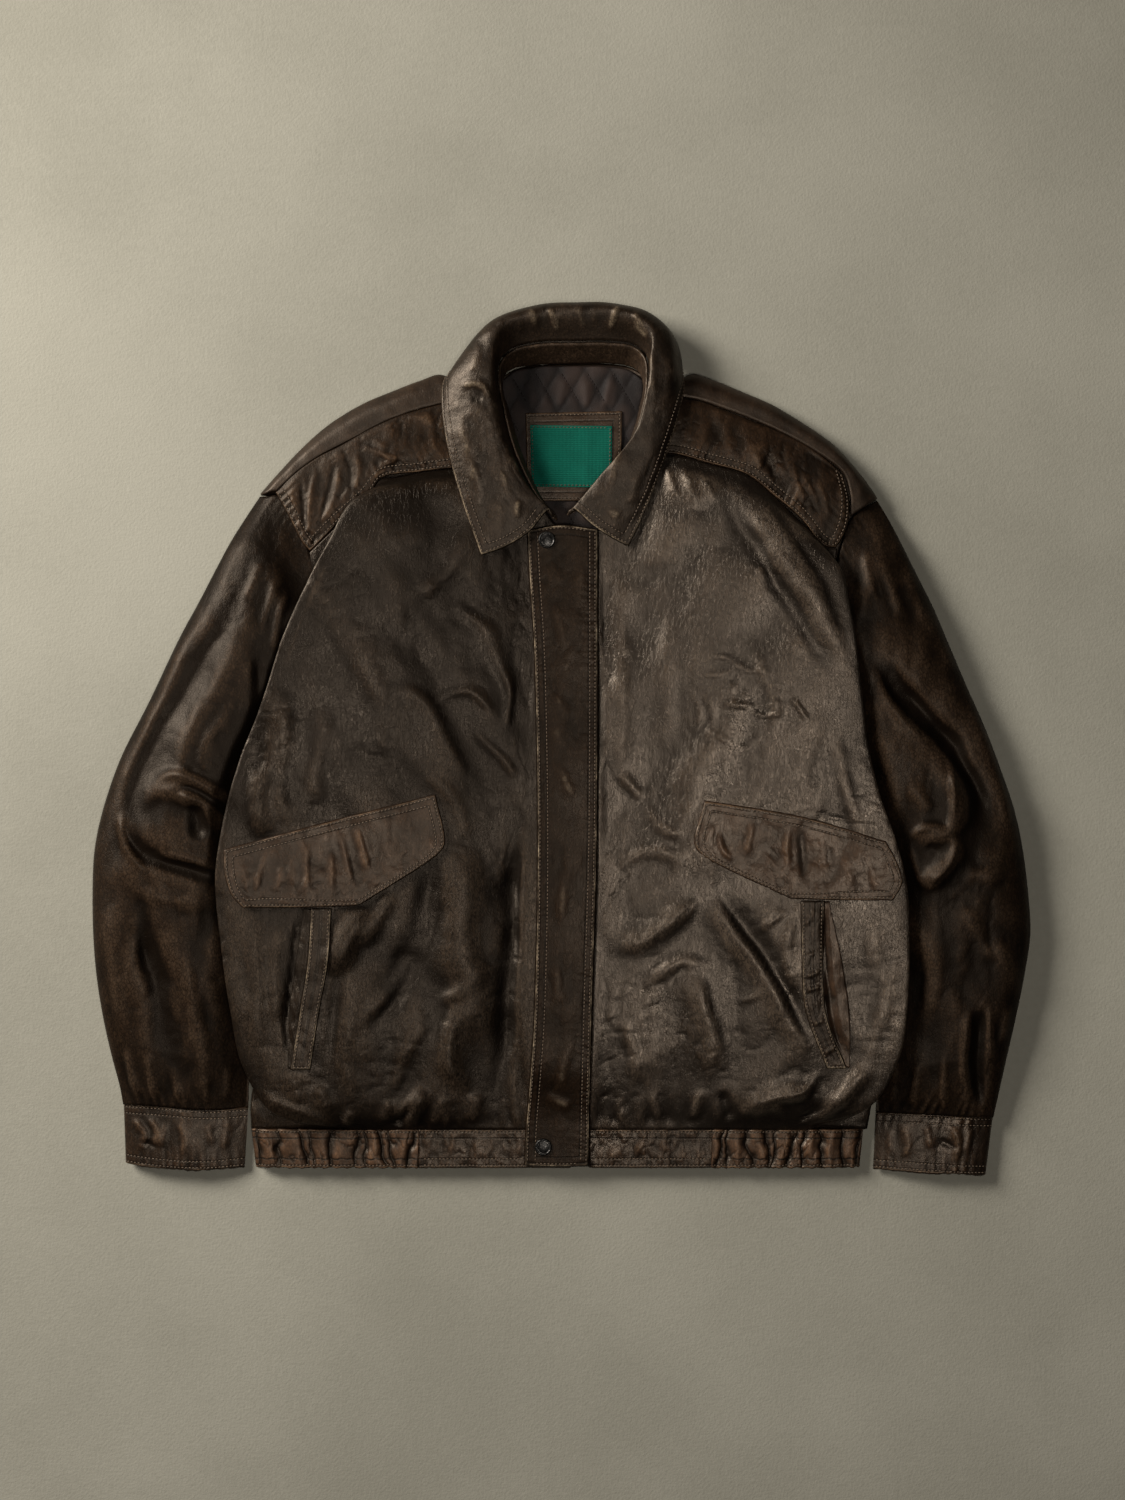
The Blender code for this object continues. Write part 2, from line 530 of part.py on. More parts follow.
# Collar
STAND_FOOT = [(556, 522, 24), (540, 500, 24), (519, 452, 24.5), (507, 412, 23), (501, 392, 21), (503, 374, 12),
              (515, 365.5, 6), (540, 362, 4.6), (575, 361, 4.6), (610, 361, 4.6), (632, 364.5, 6), (641, 372, 12),
              (645, 386, 20), (643, 404, 23), (630, 446, 24.5), (602, 494, 24), (568, 517, 24)]
STAND_SEAM = [(554, 517, 27), (535, 496, 28), (513, 450, 30), (503, 410, 30), (499, 387, 29), (500, 364, 26),
              (512, 350, 23), (540, 343, 22), (575, 342, 22), (610, 342, 22), (634, 346, 23), (646, 358, 27),
              (648, 378, 29), (646, 402, 30), (633, 445, 30), (602, 490, 28), (570, 513, 27)]
ROLL = [(549, 511, 30), (526, 487, 34), (502, 442, 38), (493.5, 404, 40), (493, 372, 41), (495, 343, 39),
        (507, 324, 36), (540, 314.5, 33), (575, 312.5, 33), (610, 313.5, 33), (638, 321, 36), (652, 337, 39),
        (650.5, 362, 40), (646, 396, 40), (634, 436, 38), (597, 481, 34), (573, 510, 30)]
LEAF = [(529, 533, 32), (500, 496, 37), (478, 447, 39), (472, 405, 40), (474, 368, 40), (479, 341, 34),
        (494, 322, 27), (540, 306.5, 24), (575, 304.5, 24), (610, 305, 24), (648, 314.5, 26), (667, 333, 30),
        (670, 362, 37), (664, 400, 38), (652, 444, 38), (622, 496, 36), (594, 527.5, 32)]
LEAF_FALL = [(505, 548, 33), (479, 503, 35.5), (461, 450, 35), (454, 407, 34), (455, 372, 31), (463, 354, 19),
             (486, 334, 11), (540, 311.5, 8), (575, 309, 8), (610, 309.5, 8), (652, 325, 10), (677, 345, 17),
             (681, 370, 25), (676, 406, 33), (664, 446, 34), (640, 503, 33), (612, 539, 31)]
LEAF_EDGE = [(482, 556, 31.5), (464, 505, 33), (448.5, 449, 31), (442.5, 405, 27.5), (444.5, 381, 21),
             (456, 373, 6), (482, 359, 0), (540, 350, 0), (575, 350, 0), (610, 350, 0), (650, 354, 0),
             (673, 362, 6), (683.5, 383, 19), (680, 409, 28), (669, 446, 30), (648, 504, 30.5), (628, 547, 28.5)]


def make_collar():
    """Stand from the neck seam up to its own seam, and fall from there over the roll to the free edge."""
    stations = len(ROLL) - 1
    stand_foot = np.array(STAND_FOOT, float)
    stand_seam = np.array(STAND_SEAM, float)
    near_seam = stand_seam + 0.12 * (stand_foot - stand_seam)
    stand = surface(np.array([stand_foot, near_seam]).transpose(1, 0, 2), [2] * stations, [2])
    leather("collar_stand", to_mm(stand), LEATHER, "collar_leather", outer="down")
    rails = [np.array(line, float) for line in (STAND_SEAM, ROLL, LEAF, LEAF_FALL, LEAF_EDGE)]
    fall = surface(np.array(rails).transpose(1, 0, 2), [2] * stations, [2, 3, 2, 2])
    fall[..., 2] = np.maximum(fall[..., 2], 0)
    leather("collar_fall", to_mm(fall), LEATHER, "collar_leather")


# Placket and waist band
def band_level(down):
    """Height of the fronts' free edges, which come down to the waist band."""
    return BODY_HEIGHT - (BODY_HEIGHT - BAND_HEIGHT_ABOVE_FLOOR) * ease((down - 1060) / 65)


def make_placket():
    """Long double strip over the meeting fronts; returns its top for the snaps."""
    free = [(527.5, 531), (530, 580), (534, 640), (537, 740), (538, 860), (536.5, 960), (534, 1030),
            (530, 1085), (526.5, 1130), (525.5, 1164)]
    sewn = [(597, 531), (597, 600), (597, 700), (596, 850), (591.5, 1000), (590, 1060), (588.8, 1110),
            (588.5, 1130), (588.3, 1146), (588, 1164)]
    across = np.linspace(0, 1, 5)
    down = np.linspace(0, 1, 19)
    top = at([(528, 532), (560, 527), (597, 531)], across)
    bottom = at([(525.5, 1164), (560, 1165), (588, 1164)], across)
    plan = between(top, bottom, at(free, down), at(sewn, down), across, down)
    height = band_level(plan[..., 1]) + CLEARANCE + FOLDED_LEATHER + 0.6 * np.sin(math.pi * across)[None, :]
    grid = to_mm(np.dstack([plan, height]))
    leather("placket", grid, FOLDED_LEATHER, "yoke_leather")
    return tree_of(grid)


def make_bands():
    """Plain pieces at the front, gathered pieces that curl round the sides, and the back band."""
    level = BAND_HEIGHT_ABOVE_FLOOR
    top_row = BAND_TOP_ROW
    rows = (top_row, 1143, 1155, 1167)
    for name, start, end in (("band_front_right", 570, 419), ("band_front_left", 590, 711.5)):
        across = np.linspace(start, end, 9)
        grid = np.array([[(x, y, level - 0.4) for x in across] for y in rows])
        leather(name, to_mm(grid), LEATHER, "yoke_leather")
    profile = [(0, level), (0.25, level), (0.5, level), (0.72, level - 0.6), (0.88, level - 2), (0.965, level - 4.5),
               (1, level - 7.5), (0.97, 4.6)]
    for name, start, end in (("band_elastic_right", 418, 251), ("band_elastic_left", 712.5, 864)):
        section = through([(start + (end - start) * share, z) for share, z in profile], [10, 10, 9, 6, 3, 3, 2])
        run = np.linspace(0, 1, len(section))
        ripple = GATHER_HEIGHT * np.sin(2 * math.pi * GATHERS * run) * ease((1 - run) / 0.15) * ease(run / 0.05)
        grid = []
        for row in rows:
            narrowing = 1 - 0.025 * (row - top_row) / (rows[-1] - top_row)
            x = start + (section[:, 0] - start) * narrowing
            grid.append(np.column_stack([x, np.full(len(x), row), section[:, 1] + ripple]))
        leather(name, to_mm(np.array(grid)), LEATHER, "gathered_leather")
    across = np.linspace(256, 858, 13)
    grid = np.array([[(x, y, 0) for x in across] for y in rows])
    leather("band_back", to_mm(grid), FOLDED_LEATHER, "gathered_leather", outer="down")


# Pockets
def make_pockets(right_front, left_front):
    """Flaps, welts and the facings that show in the slits, each laid on its front."""
    right_flap = ([(229, 849), (330, 822), (436, 795)], [(248, 905), (300, 905), (361, 903)],
                  [(229, 849), (230, 872), (237, 893), (248, 905)], [(436, 795), (445, 842), (440, 851), (361, 903)])
    on_surface("flap_right", right_flap, (14, 6), right_front, LEATHER, "trim_leather", gap=0.8)
    left_flap = ([(704, 801), (800, 817), (881, 841)], [(788, 896), (840, 897.5), (888, 897.5)],
                 [(704, 801), (694, 842), (700, 852), (788, 896)], [(881, 841), (892, 862), (897, 880), (888, 897.5)])
    on_surface("flap_left", left_flap, (14, 6), left_front, LEATHER, "trim_leather", gap=0.8)
    right_welt = ([(314.5, 907.5), (333.5, 907.5)], [(294, 1066), (312.5, 1066)],
                  [(314.5, 907.5), (311, 960), (303, 1010), (294, 1066)],
                  [(333.5, 907.5), (330, 960), (321, 1010), (312.5, 1066)])
    on_surface("welt_right", right_welt, (3, 14), right_front, LEATHER, "front_leather", gap=0.8)
    right_facing = ([(307, 907.5), (313.5, 907.5)], [(291.5, 1065), (293, 1065)],
                    [(307, 907.5), (299, 960), (292, 1010), (291.5, 1065)],
                    [(313.5, 907.5), (310, 960), (302, 1010), (293, 1065)])
    on_surface("pocket_facing_right", right_facing, (2, 14), right_front, THIN_LEATHER, "gathered_leather", gap=0.8)
    left_welt = ([(799, 900), (821, 900)], [(825, 1065), (843, 1065)],
                 [(799, 900), (800, 960), (803, 1005), (825, 1065)],
                 [(821, 900), (820, 960), (823, 1012), (843, 1065)])
    on_surface("welt_left", left_welt, (3, 14), left_front, LEATHER, "front_leather", gap=0.8)
    left_facing = ([(822, 900), (826, 900)], [(844, 1064), (846.5, 1064)],
                   [(822, 900), (821, 960), (824, 1012), (844, 1064)],
                   [(826, 900), (839, 960), (846.5, 1012), (846.5, 1064)])
    on_surface("pocket_facing_left", left_facing, (3, 14), left_front, THIN_LEATHER, "gathered_leather", gap=0.8)


# Neck
def flat_piece(name, corners, level, thickness, paint):
    """Level piece of cloth between four plan edges, its top at that height."""
    share = np.linspace(0, 1, 5)
    top, bottom, left, right = corners
    plan = between(at(top, share), at(bottom, share), at(left, share), at(right, share), share, share)
    leather(name, to_mm(np.dstack([plan, np.full(plan.shape[:2], level)])), thickness, paint)


def make_lining(back):
    """Quilted lining that shows in the neck, and the label with its leather backing on it."""
    across = np.linspace(0, 1, 14)
    down = np.linspace(0, 1, 14)
    left = [(503, 381), (500, 470), (505, 560)]
    right = [(643, 381), (646, 470), (640, 560)]
    plan = between(at([left[0], (518, 370), (575, 366), (628, 370), right[0]], across),
                   at([left[-1], right[-1]], across), at(left, down), at(right, down), across, down)
    quilt = np.abs(np.sin(math.pi * (plan[..., 0] + plan[..., 1] * QUILT_SLOPE) / QUILT_WIDTH)
                   * np.sin(math.pi * (plan[..., 0] - plan[..., 1] * QUILT_SLOPE) / QUILT_WIDTH))
    flat = to_mm(np.dstack([plan, np.zeros(plan.shape[:2])]))
    grid = laid_on(flat, back, LINING + 2 * CLEARANCE + LINING)
    grid[..., 2] += QUILT_HEIGHT * np.sqrt(quilt)
    leather("lining", grid, LINING, "lining_cloth")
    level = 2 * LINING + 2 * CLEARANCE + QUILT_HEIGHT
    backing = ([(526, 413), (622, 411)], [(528, 500), (620, 500)], [(526, 413), (528, 500)],
               [(622, 411), (620, 500)])
    flat_piece("label_backing", backing, level + 0.4 + THIN_LEATHER, THIN_LEATHER, "trim_leather")
    label = ([(530.5, 425), (612, 426)], [(532, 486), (611, 487)], [(530.5, 425), (532, 486)],
             [(612, 426), (611, 487)])
    flat_piece("label", label, level + 0.8 + THIN_LEATHER + WOVEN, WOVEN, "label_cloth")


# Snaps
def make_snaps(placket):
    """Domed caps with a rolled rim, turned about their own axis and set on the placket."""
    radius = SNAP_DIAMETER / 2
    profile = [(0, 0), (0, radius * 0.9), (0.6, radius), (1.6, radius), (SNAP_HEIGHT, radius * 0.86),
               (1.9, radius * 0.72), (2.1, radius * 0.4), (2.2, 0)]
    sides = 24
    for name, across, down in (("snap_top", 547, 541), ("snap_bottom", 543.5, 1146)):
        centre = to_mm([(across, down, 0)])[0]
        heights = [placket.ray_cast(Vector((centre[0] + radius * math.cos(turn), centre[1] + radius * math.sin(turn),
                                            200)), Vector((0, 0, -1)))[0].z for turn in np.arange(0, 6.28, 0.7)]
        base = max(heights) + 0.3
        points = [(centre[0], centre[1], base)]
        for z, r in profile[1:-1]:
            points += [(centre[0] + r * math.cos(2 * math.pi * k / sides),
                        centre[1] + r * math.sin(2 * math.pi * k / sides), base + z) for k in range(sides)]
        points.append((centre[0], centre[1], base + profile[-1][0]))
        faces = [(0, 1 + (k + 1) % sides, 1 + k) for k in range(sides)]
        rings = len(profile) - 2
        for ring in range(rings - 1):
            start = 1 + ring * sides
            faces += [(start + k, start + (k + 1) % sides, start + sides + (k + 1) % sides, start + sides + k)
                      for k in range(sides)]
        last = 1 + (rings - 1) * sides
        faces += [(last + k, last + (k + 1) % sides, len(points) - 1) for k in range(sides)]
        mesh = bpy.data.meshes.new(name)
        mesh.from_pydata([(x * TO_METRES, y * TO_METRES, z * TO_METRES) for x, y, z in points], [], faces)
        mesh.shade_smooth()
        item = bpy.data.objects.new(name, mesh)
        bpy.context.collection.objects.link(item)
        item.data.materials.append(material("dark_metal"))


def main():
    clear_scene()
    back = make_back()
    right_front, left_front = make_fronts()
    make_yokes()
    make_sleeves()
    make_cuffs()
    make_collar()
    placket = make_placket()
    make_bands()
    make_pockets(right_front, left_front)
    make_lining(back)
    make_snaps(placket)


main()
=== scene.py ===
"""Worn leather jacket lying flat, dressed with folds, seams, stitches, quilting and leather grain.

Left and right are the wearer's. Outlines are lists of (across, down, height): across and down are
places in the photograph's frame, which PHOTO_SCALE turns into millimetres, and height is
millimetres above the floor.
"""
import math

import bpy
import numpy as np
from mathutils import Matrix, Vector, noise
from mathutils.bvhtree import BVHTree


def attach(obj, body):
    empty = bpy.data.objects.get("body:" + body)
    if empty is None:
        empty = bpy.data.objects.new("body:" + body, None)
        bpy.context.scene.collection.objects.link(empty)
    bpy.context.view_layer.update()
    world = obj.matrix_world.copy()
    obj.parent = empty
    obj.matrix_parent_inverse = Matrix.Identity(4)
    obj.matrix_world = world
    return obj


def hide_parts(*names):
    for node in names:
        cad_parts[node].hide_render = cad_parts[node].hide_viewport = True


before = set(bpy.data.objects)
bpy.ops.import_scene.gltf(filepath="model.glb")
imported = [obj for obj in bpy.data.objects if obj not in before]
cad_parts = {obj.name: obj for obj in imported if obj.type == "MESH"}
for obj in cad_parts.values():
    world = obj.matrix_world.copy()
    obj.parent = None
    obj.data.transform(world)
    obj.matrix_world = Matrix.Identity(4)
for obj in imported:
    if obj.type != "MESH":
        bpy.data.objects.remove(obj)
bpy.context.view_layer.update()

# Driving dimensions, in millimetres
PHOTO_SCALE = 0.88
CENTRE_LINE = 561.4
MIDDLE_ROW = 739.5
LEATHER = 2.2
FOLDED_LEATHER = 3.0
LINING = 2.4
THIN_LEATHER = 1.2
WOVEN = 0.8
SNAP_DIAMETER = 15.0
CLEARANCE = 0.5
BAND_HEIGHT = 14.0
BODY_HEIGHT = 21.0
STITCH_PITCH = 3.3
STITCH_LENGTH = 2.5
STITCH_RADIUS = 0.42
STITCH_RISE = 0.18
STITCH_DEPTH = 0.25
FIRST_ROW = 1.8
SECOND_ROW = 7.4
FAR_FROM_SEAMS = 60.0
ABOVE_ALL = 200.0
TO_METRES = 0.001
TINY = 1e-9

# Steps between the points of a curve, and passes that soften a relief
FINE_STEPS = 24
FOLD_STEPS = 4
RIDGE_PASSES = 14
RIDGE_REACH = 2
SETTLING_PASSES = 6


# Curves and surfaces
def through(points, counts):
    """Smooth line through the points of the second last axis, with counts[i] steps after point i."""
    points = np.asarray(points, float)
    steps = np.sqrt(np.linalg.norm(np.diff(points, axis=-2), axis=-1))
    steps = np.maximum(steps, 1e-3)[..., None]
    slopes = np.diff(points, axis=-2) / steps
    middle = (steps[..., 1:, :] * slopes[..., :-1, :] + steps[..., :-1, :] * slopes[..., 1:, :])
    middle = middle / (steps[..., 1:, :] + steps[..., :-1, :])
    tangents = np.concatenate([slopes[..., :1, :], middle, slopes[..., -1:, :]], axis=-2)
    pieces = []
    for index, count in enumerate(counts):
        place = (np.arange(count) / count)[:, None]
        start = points[..., index:index + 1, :]
        end = points[..., index + 1:index + 2, :]
        leave = tangents[..., index:index + 1, :] * steps[..., index:index + 1, :]
        arrive = tangents[..., index + 1:index + 2, :] * steps[..., index:index + 1, :]
        pieces.append((2 * place**3 - 3 * place**2 + 1) * start + (place**3 - 2 * place**2 + place) * leave
                      + (3 * place**2 - 2 * place**3) * end + (place**3 - place**2) * arrive)
    pieces.append(points[..., -1:, :])
    return np.concatenate(pieces, axis=-2)


def surface(net, down, across):
    """Grid of points through a net of rows and columns, with that many steps between them."""
    rows = through(net, across)
    return through(rows.transpose(1, 0, 2), down).transpose(1, 0, 2)


def at(line, places):
    """Points of a smooth line at places from 0 to 1 of its length."""
    fine = through(line, [FINE_STEPS] * (len(line) - 1))
    length = np.concatenate([[0], np.cumsum(np.linalg.norm(np.diff(fine, axis=0), axis=1))])
    length = length / length[-1]
    return np.stack([np.interp(places, length, fine[:, axis]) for axis in range(fine.shape[1])], axis=-1)


def between(top, bottom, left, right, across, down):
    """Surface between four edges; top and bottom run across, left and right run down."""
    u = across[None, :, None]
    v = down[:, None, None]
    corners = ((1 - u) * (1 - v) * left[0] + u * (1 - v) * right[0]
               + (1 - u) * v * left[-1] + u * v * right[-1])
    return (1 - v) * top[None] + v * bottom[None] + (1 - u) * left[:, None] + u * right[:, None] - corners


def patch(top, bottom, left, right, steps):
    """Surface between four lines, with that many steps across and down."""
    across = np.linspace(0, 1, steps[0] + 1)
    down = np.linspace(0, 1, steps[1] + 1)
    return between(at(top, across), at(bottom, across), at(left, down), at(right, down), across, down)


def ease(place):
    place = np.clip(place, 0, 1)
    return place * place * (3 - 2 * place)


def edges_of(top, bottom, left=(), right=()):
    """Four edges of a patch; its sides are given by their points between top and bottom."""
    return top, bottom, [top[0], *left, bottom[0]], [top[-1], *right, bottom[-1]]


def to_mm(grid):
    """Places in the photograph's frame in millimetres, +X to the wearer's left, +Y to the collar."""
    grid = np.array(grid, float)
    grid[..., 0] = (grid[..., 0] - CENTRE_LINE) * PHOTO_SCALE
    grid[..., 1] = (MIDDLE_ROW - grid[..., 1]) * PHOTO_SCALE
    return grid


def raised(plan, height=0.0):
    """Grid in millimetres over a plan in the photograph's frame, at that height above the floor."""
    return to_mm(np.dstack([plan, np.broadcast_to(height, plan.shape[:2])]))


# Relief of the cloth
FOLD_TAPER = 0.3
DRIFT_SIZE = 48
SWELL_SIZE = 36


def legs_of(plan, line):
    """For each leg of a line: its length, and every plan point's share along it, distance and side."""
    for start, end in zip(line[:-1], line[1:]):
        step = end - start
        length = math.hypot(*step)
        offset = plan - start
        share = np.clip((offset @ step) / length**2, 0, 1)
        distance = np.linalg.norm(offset - share[..., None] * step, axis=-1)
        yield length, share, distance, step[0] * offset[..., 1] - step[1] * offset[..., 0] > 0


def fold(plan, line, height, near, far):
    """Height to add at plan points beside a line, a ridge or, below zero, a trough.

    near is the ridge's half width on the left of the line's direction, far on its right.
    """
    line = through(np.array(line, float), [FOLD_STEPS] * (len(line) - 1))
    best = np.full(plan.shape[:-1], np.inf)
    place = np.zeros(plan.shape[:-1])
    width = np.full(plan.shape[:-1], float(near))
    run = 0.0
    for length, share, distance, on_far_side in legs_of(plan, line):
        closer = distance < best
        best = np.where(closer, distance, best)
        place = np.where(closer, run + share * length, place)
        width = np.where(closer, np.where(on_far_side, far, near), width)
        run += length
    place = place / run
    return height * ease(np.minimum(place, 1 - place) / FOLD_TAPER) * np.exp(-(best / width)**2)


def folds(plan, lines, seed=0.0, wander=4.0):
    """All folds of a piece, their lines wandering and their heights uneven as in real leather.

    Each is (height, near, far) as for fold, and the places across and down of its line in turn.
    """
    drift = [uneven(plan, DRIFT_SIZE, DRIFT_SIZE, seed + step) for step in (40, 50)]
    bent = plan + wander * np.stack(drift, axis=-1)
    total = np.zeros(plan.shape[:-1])
    for height, near, far, *line in lines:
        total += fold(bent, np.reshape(line, (-1, 2)), height, near, far)
    return total * (1 + 0.5 * uneven(plan, SWELL_SIZE, SWELL_SIZE, seed + 60))


def creases(plan, size, seed, sharp=9.0):
    """Network of thin sunken creases round cells of that size, in patches, from 0 to -1."""
    drift = uneven(plan, size, 1.6 * size, seed) + 0.35 * uneven(plan, 0.4 * size, 0.6 * size, seed + 1)
    where = ease((uneven(plan, 3 * size, 3 * size, seed + 2) + 0.15) / 0.35)
    return -where * np.exp(-sharp * np.abs(drift) * 2)


def uneven(plan, wide, long, seed, turn=0.0):
    """Smooth noise over plan points, its bumps that wide and long, turned by that many degrees."""
    cos, sin = math.cos(math.radians(turn)), math.sin(math.radians(turn))
    u = (plan[..., 0] * cos + plan[..., 1] * sin) / wide
    v = (plan[..., 1] * cos - plan[..., 0] * sin) / long
    values = [noise.noise(Vector((a, b, seed))) for a, b in zip(u.ravel().tolist(), v.ravel().tolist())]
    return np.array(values).reshape(u.shape)


def from_side(grid, side):
    """Distance of each point from one side of its grid, along the grid's lines."""
    axis = 0 if side in ("top", "bottom") else 1
    steps = np.linalg.norm(np.diff(grid, axis=axis), axis=-1)
    if side in ("bottom", "right"):
        steps = np.flip(steps, axis)
    reach = np.cumsum(steps, axis=axis)
    reach = np.concatenate([np.zeros_like(np.take(reach, [0], axis)), reach], axis)
    return np.flip(reach, axis) if side in ("bottom", "right") else reach


def puckers(grid, side, pitch, height, reach, seed):
    """Height of the gathers that run from a sewn side into the cloth and die out."""
    away = from_side(grid, side)
    along = from_side(grid, "left" if side in ("top", "bottom") else "top")
    plan = np.stack([along, away], axis=-1)
    drift = uneven(plan, 5 * pitch, 3 * reach, seed)
    strength = 0.55 + 0.9 * uneven(plan, 2.2 * pitch, 9 * reach, seed + 7)
    wave = np.sin(2 * math.pi * along / pitch + 7 * drift)
    return height * strength * wave * np.exp(-(away / reach)**1.4) * ease(away / (0.25 * reach) + 0.25)


def neighbours(field, reach):
    """Mean of the four values that lie that many steps from each value of a grid."""
    wide = np.pad(field, reach, mode="edge")
    core = slice(reach, -reach)
    return (wide[:-2 * reach, core] + wide[2 * reach:, core] + wide[core, :-2 * reach]
            + wide[core, 2 * reach:]) / 4


def standing_out(relief):
    """How far a point stands above its neighbours, from -1 in a trough to 1 on a ridge."""
    soft = relief
    for _ in range(RIDGE_PASSES):
        soft = neighbours(soft, RIDGE_REACH)
    return np.clip(relief - soft, -1, 1)


# Meshes
RIM_DEPTH = 0.5
RIM_REACH = 0.4


def unit(vectors):
    return vectors / np.maximum(np.linalg.norm(vectors, axis=-1), TINY)[..., None]


def lengths_along(line):
    """Length of a line from its start to each of its points."""
    return np.concatenate([[0], np.cumsum(np.linalg.norm(np.diff(line, axis=0), axis=1))])


def part_of(name, points, faces, look):
    """Smooth object of one mesh and one look, riding the body; its points are in millimetres."""
    mesh = bpy.data.meshes.new(name)
    mesh.from_pydata((points * TO_METRES).tolist(), [], faces)
    mesh.shade_smooth()
    mesh.materials.append(look)
    item = bpy.data.objects.new(name, mesh)
    bpy.context.collection.objects.link(item)
    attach(item, "root")
    return item


def quads(index):
    """Faces of a grid of point numbers, as numbers of four points."""
    return np.stack([index[:-1, :-1], index[:-1, 1:], index[1:, 1:], index[1:, :-1]], -1).reshape(-1, 4)


def numbered(rows, columns, first=0, ring=False):
    """Grid of point numbers from first on, with its first column again at the end of a ring."""
    index = first + np.arange(rows * columns).reshape(rows, columns)
    return np.concatenate([index, index[:, :1]], axis=1) if ring else index


def tree_of(grid):
    rows, columns, _ = grid.shape
    return BVHTree.FromPolygons(grid.reshape(-1, 3).tolist(), quads(numbered(rows, columns)).tolist())


def height_at(tree, spot):
    """Height of the surface of a tree at a spot, or None beside it."""
    hit = tree.ray_cast(Vector((spot[0], spot[1], ABOVE_ALL)), Vector((0, 0, -1)))[0]
    return None if hit is None else hit.z


def normals_of(grid, ring):
    if ring:
        across = np.roll(grid, -1, axis=1) - np.roll(grid, 1, axis=1)
    else:
        across = np.gradient(grid, axis=1)
    return unit(np.cross(across, np.gradient(grid, axis=0)))


def rims(rows, columns, ring):
    """Border loops as (row, column) pairs, each starting at an even place."""
    if ring:
        return [[(0, c) for c in range(columns)], [(rows - 1, -c % columns) for c in range(columns)]]
    return [[(0, c) for c in range(columns)] + [(r, columns - 1) for r in range(1, rows)]
            + [(rows - 1, c) for c in range(columns - 2, -1, -1)] + [(r, 0) for r in range(rows - 2, 0, -1)]]


def shell(name, grid, thickness, look, outer, ring, ridge, rim):
    """Closed sheet or tube of one thickness with a rounded edge; grid is its outer side in millimetres.

    The inner side has half as many points each way, so rows and open columns are odd in number.
    """
    rows, columns, _ = grid.shape
    normals = normals_of(grid, ring)
    if ring:
        middle = grid.mean(axis=1, keepdims=True)
        turned = ((grid - middle) * normals).sum() < 0
    else:
        turned = (normals[..., 2].sum() < 0) == (outer == "up")
    if turned:
        normals = -normals
    faces = quads(numbered(rows, columns, 0, ring)).tolist()
    inner = grid[::2, ::2] - thickness * normals[::2, ::2]
    first = rows * columns
    low = numbered(*inner.shape[:2], first, ring)
    faces += quads(low[::-1]).tolist()
    points = [grid.reshape(-1, 3), inner.reshape(-1, 3)]
    start = first + inner.shape[0] * inner.shape[1]
    sign = -1 if turned else 1
    for loop in rims(rows, columns, ring):
        places = np.array(loop)
        edge = grid[places[:, 0], places[:, 1]]
        up = normals[places[:, 0], places[:, 1]]
        along = np.roll(edge, -1, axis=0) - np.roll(edge, 1, axis=0)
        away = unit(sign * np.cross(along, up))
        points.append(edge - RIM_DEPTH * thickness * up + RIM_REACH * thickness * away)
        count = len(loop)
        top = places[:, 0] * columns + places[:, 1]
        side = start + np.arange(count)
        under = low[places[::2, 0] // 2, places[::2, 1] // 2]
        for k in range(count):
            n = (k + 1) % count
            faces.append((int(top[n]), int(top[k]), int(side[k]), int(side[n])))
        for k in range(count // 2):
            a, b, c = 2 * k, 2 * k + 1, (2 * k + 2) % count
            here, there = int(under[k]), int(under[(k + 1) % (count // 2)])
            faces += [(int(side[b]), int(side[a]), here), (int(side[c]), int(side[b]), there),
                      (int(side[b]), here, there)]
        start += count
    if turned:
        faces = [face[::-1] for face in faces]
    points = np.concatenate(points)
    item = part_of(name, points, faces, look)
    for label, values, rest in (("ridge", ridge, 0.0), ("rim", rim, FAR_FROM_SEAMS)):
        data = np.full(len(points), rest, np.float32)
        data[:first] = values.ravel()
        item.data.attributes.new(label, "FLOAT", "POINT").data.foreach_set("value", data)
    return item, normals


THREADS = {}


def rows_of(sides, insets=(FIRST_ROW, SECOND_ROW), trims=(None, None)):
    """Seams with the same stitch rows along several sides; a trim of None is as long as the inset."""
    return tuple((side, insets, trims) for side in sides.split())


def sew(group, grid, normals, side, inset, trim):
    """Note a row of stitches at that inset from a side of a grid."""
    reach = from_side(grid, side)
    values = np.concatenate([grid, normals], axis=2)
    if side in ("top", "bottom"):
        reach, values = reach.T, values.transpose(1, 0, 2)
    if side in ("bottom", "right"):
        reach, values = reach[:, ::-1], values[:, ::-1]
    line = np.array([[np.interp(inset, away, column) for column in row.T]
                     for away, row in zip(reach, values)])
    sew_line(group, line[:, :3], line[:, 3:], trim)


def sew_line(group, line, ups, trim=(0.0, 0.0)):
    """Note the stitches along a line of points, less a trim at each end."""
    length = lengths_along(line)
    places = np.arange(trim[0] + STITCH_PITCH / 2, length[-1] - trim[1] - STITCH_PITCH / 2, STITCH_PITCH)
    if len(places) < 2:
        return
    start, end, up = (np.stack([np.interp(places + shift, length, values[:, k]) for k in range(3)], axis=-1)
                      for values, shift in ((line, -STITCH_LENGTH / 2), (line, STITCH_LENGTH / 2), (ups, 0)))
    THREADS.setdefault(group, []).append((start, end, unit(up)))


